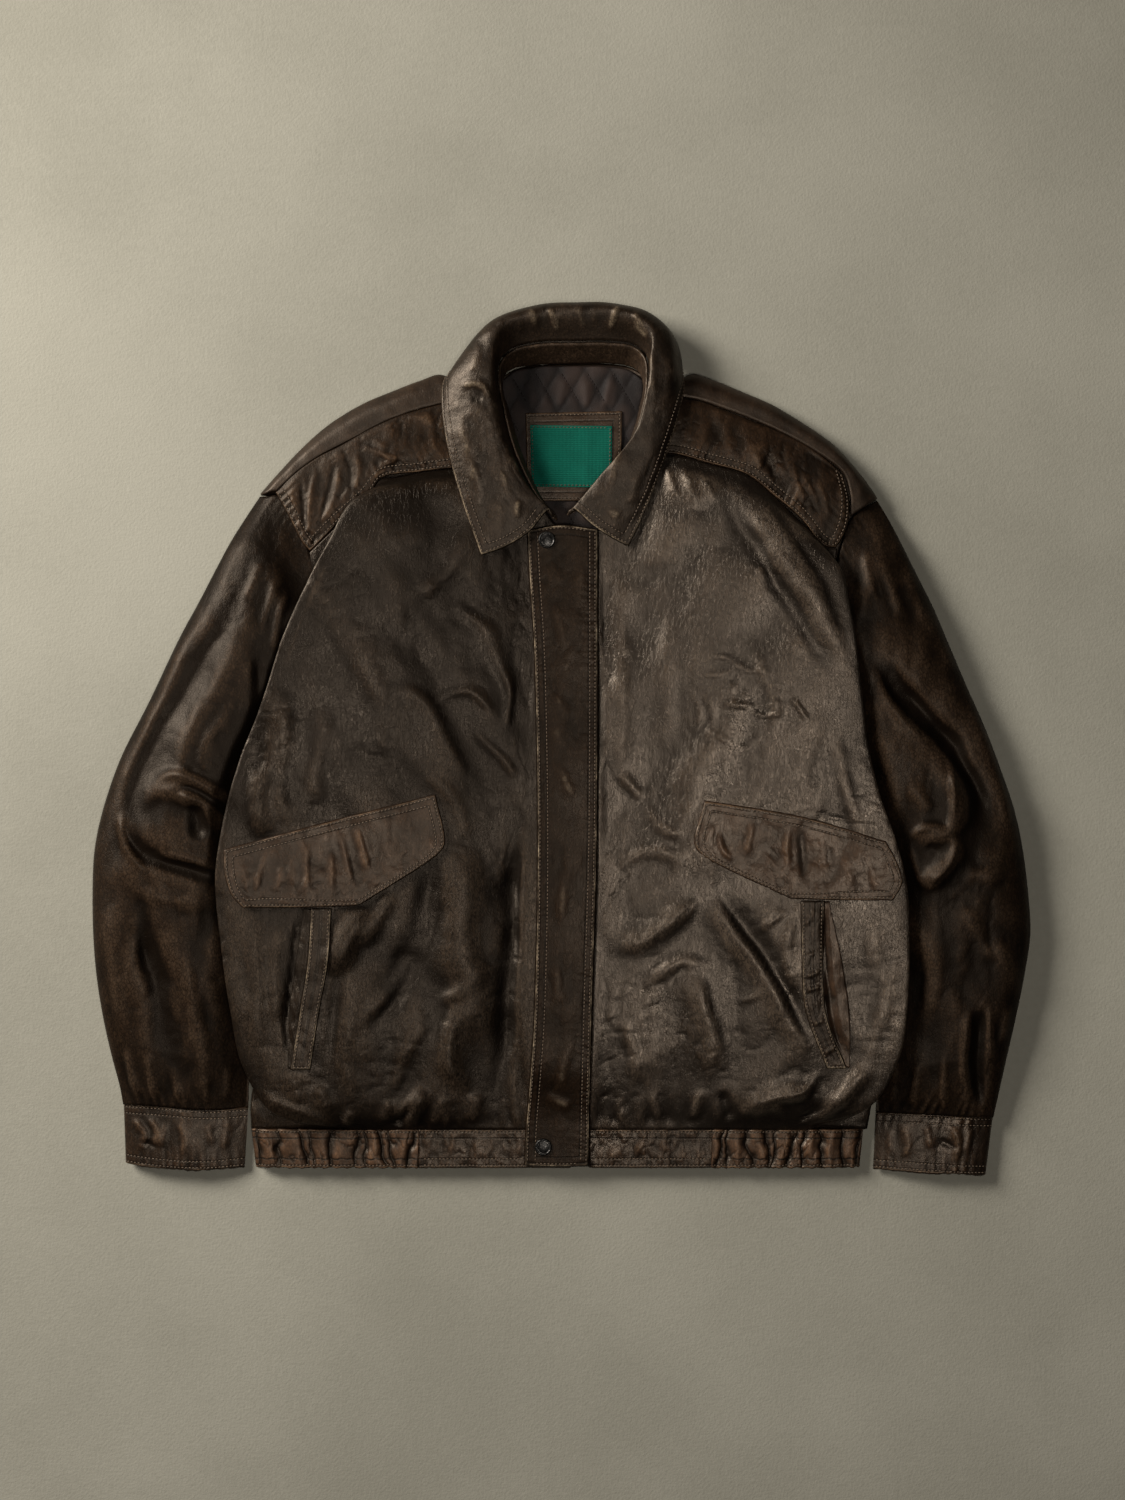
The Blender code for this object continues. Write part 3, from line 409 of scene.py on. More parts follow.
def make_stitches(group, look):
    """One mesh for a group's stitches, each a short thread with pointed ends."""
    starts, ends, ups = (np.concatenate(parts) for parts in zip(*THREADS[group]))
    side = np.cross(unit(ends - starts), ups)
    rings = []
    for share in (0.22, 0.78):
        centre = starts + share * (ends - starts) + STITCH_RISE * ups
        rings += [centre + STITCH_RADIUS * offset for offset in (side, ups, -side, -ups)]
    points = np.stack([starts - STITCH_DEPTH * ups] + rings + [ends - STITCH_DEPTH * ups], axis=1)
    pattern = []
    for k in range(4):
        n = (k + 1) % 4
        pattern += [(0, 1 + n, 1 + k), (1 + k, 1 + n, 5 + n), (1 + k, 5 + n, 5 + k), (5 + k, 5 + n, 9)]
    faces = (np.array(pattern)[None] + 10 * np.arange(len(points))[:, None, None]).reshape(-1, 3)
    part_of(group, points.reshape(-1, 3), faces.tolist(), look)


# Looks
class Look:
    """Node material, with short calls for its nodes."""

    def __init__(self, name):
        self.material = bpy.data.materials.new(name)
        self.material.use_nodes = True
        self.tree = self.material.node_tree
        self.shader = self.tree.nodes["Principled BSDF"]
        self.place = self.node("ShaderNodeTexCoord").outputs["Object"]

    def node(self, kind, inputs=(), **settings):
        made = self.tree.nodes.new(kind)
        for key, value in settings.items():
            setattr(made, key, value)
        for key, value in dict(inputs).items():
            if isinstance(value, bpy.types.NodeSocket):
                self.tree.links.new(value, made.inputs[key])
            else:
                made.inputs[key].default_value = value
        return made

    def noise(self, scale, detail=3.0, rough=0.55, stretch=None, distortion=0.0):
        vector = self.place
        if stretch:
            vector = self.node("ShaderNodeMapping", {"Vector": vector, "Scale": stretch}).outputs[0]
        made = self.node("ShaderNodeTexNoise", {"Vector": vector, "Scale": scale, "Detail": detail,
                                                "Roughness": rough, "Distortion": distortion})
        return made.outputs["Fac"]

    def bent(self, scale, drift):
        """Places scaled to cells a little longer than wide, their borders bent by noise."""
        shift = self.node("ShaderNodeTexNoise", {"Vector": self.place, "Scale": 240, "Detail": 2})
        moved = self.node("ShaderNodeVectorMath", {0: shift.outputs["Color"], 1: (drift,) * 3},
                          operation="MULTIPLY_ADD")
        self.tree.links.new(self.place, moved.inputs[2])
        return self.node("ShaderNodeMapping", {"Vector": moved.outputs[0],
                                               "Scale": (scale, 0.7 * scale, scale)}).outputs[0]

    def math(self, operation, a, b=0.0, clamp=False):
        return self.node("ShaderNodeMath", {0: a, 1: b}, operation=operation, use_clamp=clamp).outputs[0]

    def add(self, a, b):
        return self.math("ADD", a, b)

    def less(self, a, b):
        return self.math("SUBTRACT", a, b)

    def times(self, a, b):
        return self.math("MULTIPLY", a, b)

    def apart(self, a, b):
        return self.math("ABSOLUTE", self.less(a, b))

    def ramp(self, value, low, high, start=0.0, end=1.0):
        ends = {"Value": value, "From Min": low, "From Max": high, "To Min": start, "To Max": end}
        return self.node("ShaderNodeMapRange", ends, interpolation_type="SMOOTHSTEP").outputs[0]

    def mix(self, share, a, b):
        return self.node("ShaderNodeMix", {0: share, 6: a, 7: b}, data_type="RGBA").outputs[2]

    def attribute(self, name):
        return self.node("ShaderNodeAttribute", attribute_name=name).outputs["Fac"]

    def set(self, **inputs):
        for key, value in inputs.items():
            name = key.replace("_", " ")
            if isinstance(value, bpy.types.NodeSocket):
                self.tree.links.new(value, self.shader.inputs[name])
            else:
                self.shader.inputs[name].default_value = value

    def bump(self, height, distance, strength=1.0):
        made = self.node("ShaderNodeBump", {"Height": height, "Distance": distance, "Strength": strength})
        self.tree.links.new(made.outputs[0], self.shader.inputs["Normal"])


def colour(red, green, blue):
    return (red, green, blue, 1.0)


CREVICE = colour(0.0035, 0.0022, 0.0015)
PATCH_SCALE = 11
SCUFF_SCALE = 45
FINE_SCALE = 150
CELL_SCALE = 360
CELL_DRIFT = 0.0022
STREAKS = (390, 135, 300)
BUMP_DEPTH = 0.0003


def leather_look(name, dark, light, wear_and_painted_light, drawn, pebble, rough, wear_and_light_amount, shine=0.45):
    """Worn leather: drawn grain, pebbled pores, edges paler from wear, ridges paler from wear and painted
    highlight, troughs darker as painted shade, dark sunken stitch rows.
    """
    look = Look(name + "_leather")
    ridge = look.attribute("ridge")
    rim = look.attribute("rim")
    patches = look.noise(PATCH_SCALE, 4, 0.6)
    fine = look.noise(FINE_SCALE, 4, 0.6)
    streaks = look.noise(1.0, 4, 0.60, STREAKS, 1.3)
    grain = look.ramp(look.apart(streaks, 0.5), 0.0, 0.085)
    cells = look.node("ShaderNodeTexVoronoi", {"Vector": look.bent(CELL_SCALE, CELL_DRIFT), "Scale": 1.0,
                                               "Randomness": 1.0}, feature="DISTANCE_TO_EDGE")
    pores = look.ramp(cells.outputs["Distance"], 0.0, 0.24)
    tone = look.add(look.times(patches, 0.7), look.times(streaks, 1.0))
    # Painted shade and highlight: troughs are painted darker and ridges lighter, and the ridge value also
    # carries the painted light offsets given to each piece.
    tone = look.math("ADD", look.less(tone, 0.52), look.times(ridge, 0.80), clamp=True)
    base = look.mix(tone, colour(*dark), colour(*light))
    scuffed = look.ramp(look.noise(SCUFF_SCALE), 0.38, 0.62, 0.15 * wear_and_light_amount, wear_and_light_amount)
    rubbed = look.times(look.ramp(rim, 2.2, 0.0), scuffed)
    # Ridges take the worn colour: wear on high spots, and a painted highlight where painted light offsets
    # raise the ridge value.
    rubbed = look.add(rubbed, look.times(look.ramp(ridge, 0.30, 1.0), 0.30 * wear_and_light_amount))
    rubbed = look.math("MULTIPLY", rubbed, look.ramp(fine, 0.35, 0.6, 0.25, 1.0), clamp=True)
    base = look.mix(rubbed, base, colour(*wear_and_painted_light))
    sunk = 0.0
    for row in (FIRST_ROW, SECOND_ROW):
        sunk = look.add(look.ramp(look.apart(rim, row), 1.3, 0.2), sunk)
    lines = look.add(look.times(look.less(1.0, grain), 0.75 * drawn),
                     look.times(look.less(1.0, pores), 0.75 * pebble))
    shade = look.mix(look.math("ADD", look.times(sunk, 0.70), lines, clamp=True), base, CREVICE)
    height = look.add(look.times(streaks, 0.80 * drawn), look.times(grain, 0.15 * drawn))
    height = look.add(height, look.times(pores, 0.25 * pebble))
    height = look.less(look.add(height, look.times(fine, 0.5)), look.times(sunk, 0.4))
    look.bump(height, BUMP_DEPTH)
    gloss = look.ramp(look.add(patches, look.times(streaks, 0.35)), 0.45, 0.95, rough + 0.08, rough - 0.08)
    look.set(Base_Color=shade, Roughness=gloss, Specular_IOR_Level=shine,
             Specular_Tint=colour(1.0, 0.82, 0.66))
    return look.material


# Dark, light and worn colour, drawn grain, pebble, roughness, wear and shine of each leather; the worn
# colour and the wear also paint highlights on ridges
LEATHERS = {
    # front_right and front_left are one leather in lit and shaded copies: front_left is painted lighter as a
    # painted sheen, front_right darker as painted shade.
    "front_right": ((.0045, .0027, .0015), (.024, .0148, .0087), (.16, .115, .08), .95, .4, .35, .35, .3),
    "front_left": ((.008, .0052, .0033), (.046, .031, .0205), (.2, .15, .105), .95, .4, .34, .4, .65),
    "back": ((.011, .006, .0034), (.04, .0225, .0128), (.2, .13, .08), .35, .45, .46, .35),
    "sleeve": ((.0055, .0032, .0018), (.033, .0188, .0104), (.16, .11, .072), .6, .55, .41, .35, .14),
    "yoke": ((.0065, .0034, .0016), (.044, .0228, .0116), (.26, .16, .09), .45, .45, .41, .5, .25),
    "cuff": ((.008, .0043, .0022), (.055, .03, .0165), (.28, .18, .105), .6, .5, .34, .45),
    "placket": ((.005, .0028, .0015), (.029, .016, .0088), (.52, .4, .27), .45, .45, .38, .75, .14),
    "trim": ((.011, .0057, .003), (.066, .0345, .0188), (.32, .2, .115), .4, .4, .38, .5),
    "gathered": ((.009, .0045, .0022), (.1, .05, .026), (.34, .2, .11), .28, .4, .44, .5),
    # The stand is painted about three times lighter than the collar: a painted fill light in the shade of
    # the roll.
    "stand": ((.018, .0106, .006), (.1, .06, .0352), (.46, .35, .23), .6, .5, .4, .4, .38),
    "collar": ((.0065, .0038, .0021), (.038, .0228, .0134), (.46, .35, .23), .6, .5, .4, .75, .38),
}
LOOKS = {name: leather_look(name, *values) for name, values in LEATHERS.items()}


def other_looks():
    """Thread, quilted lining, woven label and the dark metal of the snaps."""
    thread = Look("thread")
    tone = thread.mix(thread.noise(60), colour(0.030, 0.019, 0.012), colour(0.200, 0.135, 0.085))
    thread.set(Base_Color=tone, Roughness=0.6)

    lining = Look("lining_cloth")
    # Quilt puffs and folds are painted lighter and the quilt lines darker, as painted highlight and painted
    # shade.
    share = lining.add(lining.noise(25), lining.times(lining.attribute("ridge"), 0.3))
    tone = lining.mix(lining.ramp(share, 0.3, 0.75), colour(0.0075, 0.0042, 0.0032),
                      colour(0.030, 0.0175, 0.0130))
    lining.set(Base_Color=tone, Roughness=0.6, Specular_IOR_Level=0.25)
    lining.bump(lining.noise(1.0, 2, 0.5, (1600, 1600, 1600)), BUMP_DEPTH)

    label = Look("label_cloth")
    ribs = label.node("ShaderNodeTexWave", {"Vector": label.place, "Scale": 190, "Distortion": 1.2,
                                            "Detail": 2, "Detail Scale": 3.0}, bands_direction="Y")
    warp = label.node("ShaderNodeTexWave", {"Vector": label.place, "Scale": 260, "Distortion": 0.6},
                      bands_direction="X")
    weave = label.add(ribs.outputs["Fac"], label.times(warp.outputs["Fac"], 0.5))
    tone = label.mix(label.times(label.add(weave, label.noise(70)), 0.45), colour(0.0, 0.040, 0.027),
                     colour(0.002, 0.150, 0.100))
    label.set(Base_Color=tone, Roughness=0.75, Specular_IOR_Level=0.15)
    label.bump(weave, BUMP_DEPTH)

    metal = Look("dark_metal")
    tone = metal.mix(metal.ramp(metal.noise(700, 3), 0.5, 0.75), colour(0.018, 0.017, 0.016),
                     colour(0.12, 0.11, 0.10))
    metal.set(Base_Color=tone, Metallic=0.85,
              Roughness=metal.ramp(metal.noise(240, 3), 0.3, 0.7, 0.22, 0.42))
    return {"thread": thread.material, "lining": lining.material, "label": label.material,
            "metal": metal.material}


LOOKS.update(other_looks())


def cloth(node, grid, thickness, look, relief, seams=(), group=None, wear_and_painted_light=0.0, outer="up", ring=False):
    """Make a piece that replaces its CAD node, and note the stitches along its seams.

    seams are (side, insets, trims) with a trim for both ends of each row.
    """
    rim = np.full(grid.shape[:2], FAR_FROM_SEAMS)
    for side, _, _ in seams:
        rim = np.minimum(rim, from_side(grid, side))
    # The ridge value adds the given offset of edge wear and of painted light and shade; the looks paint it
    # as paler ridges and darker troughs.
    ridge = standing_out(relief) + wear_and_painted_light
    item, normals = shell(node + "_cloth", grid, thickness, LOOKS[look], outer, ring, ridge, rim)
    for side, insets, trims in seams:
        for inset in insets:
            ends = [inset if trim is None else trim for trim in trims]
            sew("stitching_" + group, grid, normals, side, inset, ends)
    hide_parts(node)


# Fronts
DOWN_FRONT = np.array([0, .05, .11, .18, .28, .40, .52, .60, .68, .76, .84, .90, .95, 1.0])
DOWN_STEPS = [12, 12, 12, 24, 26, 32, 26, 24, 24, 24, 24, 22, 12]
ACROSS_STEPS = 12
EDGE_STEPS = [10, 10, 8, 4]
# Rows where a piece's painted light and shade begin to change from its upper to its lower half, and over how
# far
PAINTED_LIGHT_FROM = 40
PAINTED_LIGHT_OVER = 220
INSET = 11
RISE = 6.5
OUTER_RISE = 4.5

RIGHT_NECK = [
    (572, 538, 20.4), (553, 523, 20.4), (545, 512, 20.6), (537, 500, 21), (520.5, 468.5, 22.3),
    (488, 469.5, 23.7), (457, 470.5, 24.8), (425, 474, 25.3), (394, 479.5, 25.5),
]
RIGHT_HEM = [(572, 1129, 13.4), (520, 1129, 14), (440, 1129, 14), (362, 1129.5, 14.4)]
RIGHT_FREE_EDGE = [
    (572, 538, 20.4), (572, 700, 20.4), (572, 900, 20.4), (572, 1040, 20.4), (572, 1095, 16),
    (572, 1129, 13.4),
]
RIGHT_EDGE = [
    (382, 481, 25), (361, 512, 30), (342, 547, 33), (321, 587, 33), (297, 640, 32), (276, 706, 31),
    (253, 765, 30), (237, 825, 29), (230, 880, 28), (236, 945, 28), (245, 1008, 27), (256, 1060, 25),
    (283, 1102, 20), (345, 1128, 14.5),
]
RIGHT_TURN = [
    (370, 497, 24.6), (366, 515, 26), (352, 545, 28), (334, 585, 27), (315, 640, 23), (293, 710, 19),
    (270, 768, 17), (253, 828, 16), (247, 880, 15.5), (252, 943, 15.5), (260, 1005, 15),
    (271, 1052, 15.5), (300, 1096, 14.5), (352, 1127, 11.8),
]
RIGHT_ROLL = [
    (341, 525, 24), (334, 545, 24.5), (331, 563, 24.5), (327, 597, 22), (322, 647, 15), (302, 711, 9),
    (282, 768, 8), (267, 828, 8), (263, 880, 8), (265, 940, 8), (267, 1002, 8), (257, 1066, 8.5),
    (251, 1100, 8), (251, 1129, 7),
]
RIGHT_SEAM = [
    (311.5, 553.5, 23.5), (312.8, 565, 23.5), (317, 578, 23), (325.5, 606, 19.5), (326.5, 654, 11.5),
    (310.5, 702, 5), (295, 768, 4), (290, 828, 4), (288, 880, 4), (287, 940, 4), (285, 1000, 4),
    (279, 1060, 4), (274, 1100, 4), (271, 1129, 4),
]

LEFT_NECK = [
    (598.5, 532, 22), (606, 500, 22), (623, 468, 22.5), (646, 459, 24), (670, 456.5, 25),
    (707, 466, 25.5), (747, 478, 25.5), (773, 498, 25.5), (814, 537, 25.3),
]
LEFT_HEM = [(589.8, 1129, 14), (650, 1129, 14), (720, 1129, 14), (797, 1129.5, 14.4)]
LEFT_FREE_EDGE = [
    (598.5, 532, 22), (598.5, 700, 22), (597.5, 850, 22), (592.8, 1000, 22), (591, 1080, 21),
    (589.8, 1129, 14),
]
LEFT_EDGE = [
    (825, 548, 25), (829, 577, 29), (835, 607, 31), (841, 640, 32), (847, 690, 31.5), (853, 740, 31),
    (865, 795, 30), (881, 840, 29), (893, 888, 28), (895, 945, 28), (893, 1003, 27), (886, 1050, 25),
    (858, 1098, 20), (812, 1128, 14.5),
]
LEFT_TURN = [
    (829, 549, 24.4), (832, 576, 24), (834, 606, 23.5), (835, 640, 22), (838, 691, 19), (843, 741, 18),
    (851, 796, 17), (865, 841, 16), (877, 888, 15.5), (879, 945, 15.5), (877, 1001, 15),
    (870, 1044, 15.5), (845, 1092, 14.5), (806, 1127, 11.8),
]
LEFT_ROLL = [
    (832, 549.7, 24), (832, 574, 22), (830, 605, 19.5), (829, 641, 16), (833, 692, 11), (838, 741, 9),
    (843, 796, 8), (852, 841, 8), (861, 887, 8), (862, 945, 8), (864, 1001, 8), (876, 1060, 8.5),
    (873, 1098, 8), (868, 1129, 7),
]
LEFT_SEAM = [
    (835, 550.5, 23.5), (833, 578, 20), (830, 610, 16), (829.5, 646, 11.5), (836, 697, 5), (834, 741, 4),
    (832, 796, 4), (833, 841, 4), (836, 888, 4), (838, 945, 4), (842, 1001, 4), (849, 1060, 4),
    (851, 1098, 4), (851, 1129, 4),
]

RIGHT_FOLDS = [
    (3.5, 9, 14, 372, 905, 330, 975), (3.2, 18, 20, 480, 830, 462, 900, 470, 1000, 448, 1080),
    (-3.0, 12, 12, 440, 850, 425, 930, 372, 1040), (3.5, 9, 9, 395, 1118, 430, 1085),
    (2.0, 8, 8, 262, 760, 268, 840), (-3.4, 8, 13, 518, 800, 512, 950, 506, 1050, 492, 1122),
    (1.8, 6, 8, 446, 868, 430, 915, 405, 975, 352, 1035), (1.6, 5, 6, 396, 890, 362, 948),
    (1.6, 6, 8, 428, 1006, 470, 985, 490, 960), (2.0, 7, 7, 455, 1000, 450, 1060, 470, 1095),
    (1.4, 7, 8, 430, 1010, 402, 1060, 392, 1100), (-3.2, 2.6, 3.5, 394, 1126, 412, 1102),
    (2.0, 4, 5, 405, 1128, 426, 1092), (1.2, 4, 5, 430, 1128, 446, 1095),
    (1.6, 3, 4, 345, 1128, 355, 1108), (1.6, 4, 4, 385, 1120, 390, 1098),
    (1.2, 5, 6, 330, 1112, 318, 1080), (1.0, 5, 6, 300, 1105, 296, 1070),
    (1.2, 5, 5, 470, 1126, 478, 1090), (1.3, 9, 7, 475, 620, 498, 660, 520, 705),
    (0.9, 6, 6, 452, 600, 500, 640), (1.1, 9, 12, 462, 530, 448, 575, 410, 600),
    (1.1, 5, 7, 400, 680, 440, 720, 470, 782), (0.8, 4, 5, 430, 705, 470, 692, 500, 722),
    (1.0, 4, 5, 470, 722, 500, 756, 518, 782), (0.6, 4, 5, 385, 735, 402, 790),
    (1.0, 4, 5, 500, 660, 512, 692, 507, 735), (0.9, 6, 7, 420, 770, 455, 800, 470, 850),
    (0.9, 14, 14, 345, 640, 380, 700, 390, 760), (1.6, 4, 5, 275, 720, 270, 800),
    (1.3, 3, 4, 258, 762, 262, 842), (1.2, 6, 8, 291, 690, 284, 760, 288, 830),
    (0.9, 8, 9, 330, 700, 318, 760, 322, 820), (1.4, 6, 7, 258, 915, 262, 1000, 262, 1060),
    (1.1, 5, 6, 288, 915, 278, 960, 280, 1040), (-1.0, 6, 7, 345, 930, 338, 1000, 328, 1070),
    (1.0, 7, 8, 362, 985, 346, 1060, 360, 1100), (1.2, 4, 4, 262, 1090, 290, 1104, 330, 1124),
    (-3.0, 3, 3, 306, 900, 297, 960, 291.5, 1010, 291, 1070),
]
LEFT_FOLDS = [
    (2.6, 4, 16, 712, 880, 722, 910, 760, 968, 808, 1050), (1.4, 14, 12, 695, 892, 650, 930, 610, 950),
    (3.0, 10, 16, 730, 480, 800, 590, 835, 660), (2.2, 9, 9, 735, 1118, 770, 1095, 812, 1085),
    (1.6, 14, 16, 690, 960, 700, 1020, 722, 1080), (1.8, 9, 9, 868, 1058, 820, 1112),
    (-2.3, 13, 3.5, 722, 888, 733, 912, 769, 966, 817, 1048),
    (-1.8, 7, 8, 720, 490, 760, 560, 795, 612, 830, 675),
    (1.4, 5, 7, 735, 478, 775, 525, 806, 578, 836, 645, 845, 690), (1.1, 3, 4, 668, 462, 676, 502),
    (1.0, 3, 4, 684, 464, 697, 510), (0.8, 3, 3, 655, 466, 656, 498), (0.9, 3, 4, 700, 468, 716, 506),
    (-0.8, 10, 10, 660, 520, 690, 512, 722, 516), (-0.9, 12, 12, 618, 588, 660, 574, 702, 582),
    (0.9, 8, 9, 620, 560, 621, 680, 620, 800), (0.7, 9, 9, 662, 600, 668, 680, 660, 760),
    (0.6, 2.0, 3, 700, 677, 725, 675, 746, 660), (0.6, 2.0, 2.4, 720, 705, 752, 705),
    (0.7, 1.8, 2.4, 788, 698, 806, 726), (0.6, 1.6, 2.2, 700, 664, 722, 658, 748, 672, 772, 668),
    (0.5, 1.6, 2.2, 690, 690, 698, 708, 694, 730), (0.6, 1.6, 2.2, 744, 700, 760, 716, 784, 714),
    (0.6, 2.0, 2.6, 700, 730, 732, 746), (0.9, 3, 3, 755, 568, 766, 582),
    (0.8, 4, 5, 748, 640, 772, 700, 768, 742), (0.6, 2.5, 3, 705, 690, 712, 715, 704, 745),
    (1.0, 5, 5, 615, 770, 642, 802), (0.9, 6, 6, 640, 800, 670, 830, 690, 835),
    (0.9, 6, 8, 610, 872, 650, 850, 692, 860), (0.8, 5, 8, 604, 950, 650, 936, 706, 890),
    (1.2, 7, 8, 640, 985, 680, 962, 720, 968), (0.8, 6, 7, 692, 960, 706, 1010, 722, 1062),
    (1.2, 6, 7, 625, 1015, 642, 1082), (0.8, 3, 4, 735, 1000, 752, 994, 760, 985),
    (0.8, 4, 4, 755, 930, 785, 905), (-2.8, 4, 5, 720, 1088, 733, 1124),
    (1.6, 4, 6, 733, 1120, 760, 1104, 800, 1090, 818, 1066), (1.2, 4, 4, 752, 1118, 770, 1108, 790, 1112),
    (1.8, 5, 5, 808, 1124, 842, 1094, 862, 1062), (-1.6, 3, 3, 800, 1122, 812, 1110, 822, 1108),
    (1.7, 6, 6, 886, 955, 876, 1015, 856, 1068), (0.9, 6, 6, 866, 905, 872, 980),
    (1.0, 4, 5, 658, 1122, 652, 1090), (1.2, 4, 5, 688, 1122, 700, 1086),
    (0.8, 4, 5, 620, 1122, 614, 1094), (1.0, 3, 4, 789, 905, 786, 960, 793, 1000),
    (1.0, 4, 5, 852, 1000, 858, 1050), (1.2, 6, 7, 830, 720, 846, 800, 868, 850),
    (-3.0, 3, 3, 823, 894, 824, 960, 829, 1012, 845, 1070),
]


RIGHT_SIDE_FOLDS = [
    (2.2, 2.2, 4, 253, 1062, 258, 1080, 272, 1100), (-2.2, 4, 5, 256, 1085, 262, 1105, 276, 1124),
    (1.8, 3, 4, 252, 1100, 256, 1118, 266, 1128), (1.6, 2.4, 3, 284, 1108, 290, 1129),
    (1.4, 2.4, 3, 300, 1116, 304, 1129), (1.2, 4, 4, 276, 1080, 280, 1104),
]
LEFT_SIDE_FOLDS = [
    (2.0, 3, 4, 872, 1062, 870, 1090, 858, 1112), (-2.0, 4, 4, 862, 1090, 856, 1110, 842, 1126),
    (1.6, 3, 4, 868, 1104, 862, 1126), (1.4, 2.4, 3, 838, 1112, 834, 1129),
    (1.2, 2.4, 3, 822, 1118, 818, 1129),
]


def inset_of(edge, side):
    """Line beside an outline, INSET inside it and RISE above it: the top of its rolled edge."""
    edge = np.array(edge, float)
    inward = unit(np.gradient(edge[:, :2], axis=0))[:, ::-1] * (side, -side)
    return np.column_stack([edge[:, :2] + INSET * inward, edge[:, 2] + RISE])


def front_grid(neck, hem, free_edge, rails, lines, side_lines, side, lap, seed):
    """Outer side of a front: a panel that climbs to its rolled edge, and its return to the side seam.

    The panel stays level over the share lap of its width, which lies under the placket.
    """
    edge = rails[0]
    crest = inset_of(edge, side)
    crest[0] = neck[-1]
    crest[-1] = hem[-1]
    neck = np.array(neck, float)
    across = lengths_along(neck)
    across = across / across[-1]
    hem = at(hem, across)
    free_edge = at(free_edge, DOWN_FRONT)
    panel = between(neck, hem, free_edge, crest, across, DOWN_FRONT)
    climb = ease((across - lap) / (1 - lap)) - across
    rise = (crest - free_edge)[:, 2]
    panel[..., 2] += np.outer(rise - (1 - DOWN_FRONT) * rise[0] - DOWN_FRONT * rise[-1], climb)
    net = np.concatenate([panel] + [np.array(line, float)[:, None] for line in rails], axis=1)
    top = ACROSS_STEPS * (len(neck) - 1)
    grid = surface(net, DOWN_STEPS, [ACROSS_STEPS] * (len(neck) - 1) + EDGE_STEPS)
    place = np.linspace(0, 1, grid.shape[0])[:, None]
    ends = ease(place / 0.03) * ease((1 - place) / 0.02)
    reach = np.concatenate([np.linspace(0, 1, top + 1), np.ones(grid.shape[1] - top - 1)])
    inside = ends * ease((reach - lap) / 0.06)[None, :]
    toward = np.concatenate([np.zeros(top), np.linspace(0, 1, sum(EDGE_STEPS) + 1)])
    inside = inside * ease((0.62 - toward) / 0.45)[None, :]
    plan = grid[..., :2]
    relief = 1.7 * folds(plan, lines, seed)
    relief += 3.4 * uneven(plan, 55, 110, seed, 28 * side) + 1.1 * uneven(plan, 26, 46, seed + 3, 30 * side)
    relief += 0.26 * uneven(plan, 9, 20, seed + 5, 8 * side) + 0.10 * uneven(plan, 4.5, 9, seed + 9)
    relief += 0.75 * creases(plan, 26, seed + 13) + 0.40 * creases(plan, 13, seed + 17)
    relief += OUTER_RISE * ease((reach - lap) / (1 - lap))[None, :] * ease((1 - place) / 0.06)
    relief *= inside
    beside = (ease((toward - 0.66) / 0.08) * ease((0.98 - toward) / 0.08))[None, :] * ends
    relief += beside * (folds(plan, side_lines, seed, 2.0) + 1.2 * uneven(plan, 16, 30, seed + 7))
    grid[..., 2] += relief
    grid = to_mm(grid)
    gathered = puckers(grid, "top", 8, 0.55, 16, seed + 11) + puckers(grid, "bottom", 14, 1.5, 24, seed + 12)
    gathered *= inside
    grid[..., 2] += gathered
    edge = np.array(edge, float)[:, :2]
    # Paler line along the rolled edge: partly wear of the edge, partly a painted highlight.
    wear_and_painted_light = fold(plan, edge[1:6], 1.3, 2.2, 2.2) + fold(plan, edge[8:13], 0.6, 3, 3)
    return grid, relief + gathered, wear_and_painted_light


def painted_light_drift(grid, above, below):
    """Painted light and shade of a whole piece: an offset that changes smoothly from its upper to its lower
    half.
    """
    return above + (below - above) * ease((PAINTED_LIGHT_FROM - grid[..., 1]) / PAINTED_LIGHT_OVER)


def make_fronts():
    right, relief, wear_and_painted_light = front_grid(RIGHT_NECK, RIGHT_HEM, RIGHT_FREE_EDGE,
                                     [RIGHT_EDGE, RIGHT_TURN, RIGHT_ROLL, RIGHT_SEAM], RIGHT_FOLDS,
                                     RIGHT_SIDE_FOLDS, -1, 0.16, 3.1)
    # The right front is painted darker in its upper half and lighter in its lower half: painted shade above,
    # painted sheen below.
    cloth("front_right", right, LEATHER, "front_right", relief,
          wear_and_painted_light=wear_and_painted_light + painted_light_drift(right, -0.40, 0.42))
    left, relief, wear_and_painted_light = front_grid(LEFT_NECK, LEFT_HEM, LEFT_FREE_EDGE,
                                    [LEFT_EDGE, LEFT_TURN, LEFT_ROLL, LEFT_SEAM], LEFT_FOLDS,
                                    LEFT_SIDE_FOLDS, 1, 0, 8.4)
    cloth("front_left", left, LEATHER, "front_left", relief, wear_and_painted_light=wear_and_painted_light)
    return tree_of(right), tree_of(left)


def laid_on(plan, ground, gap):
    """Heights of a trim that lies on a surface, that far above it, smooth where it leaves its edge."""
    heights = np.full(plan.shape[:2], np.nan)
    for place in np.ndindex(plan.shape[:2]):
        height = height_at(ground, plan[place])
        if height is not None:
            heights[place] = height
    for line in list(heights) + list(heights.T):
        known = np.flatnonzero(~np.isnan(line))
        if 0 < len(known) < len(line):
            line[:] = np.interp(np.arange(len(line)), known, line[known])
    for _ in range(SETTLING_PASSES):
        heights = np.maximum(heights, neighbours(heights, 1))
    return np.dstack([plan[..., :2], heights + gap])


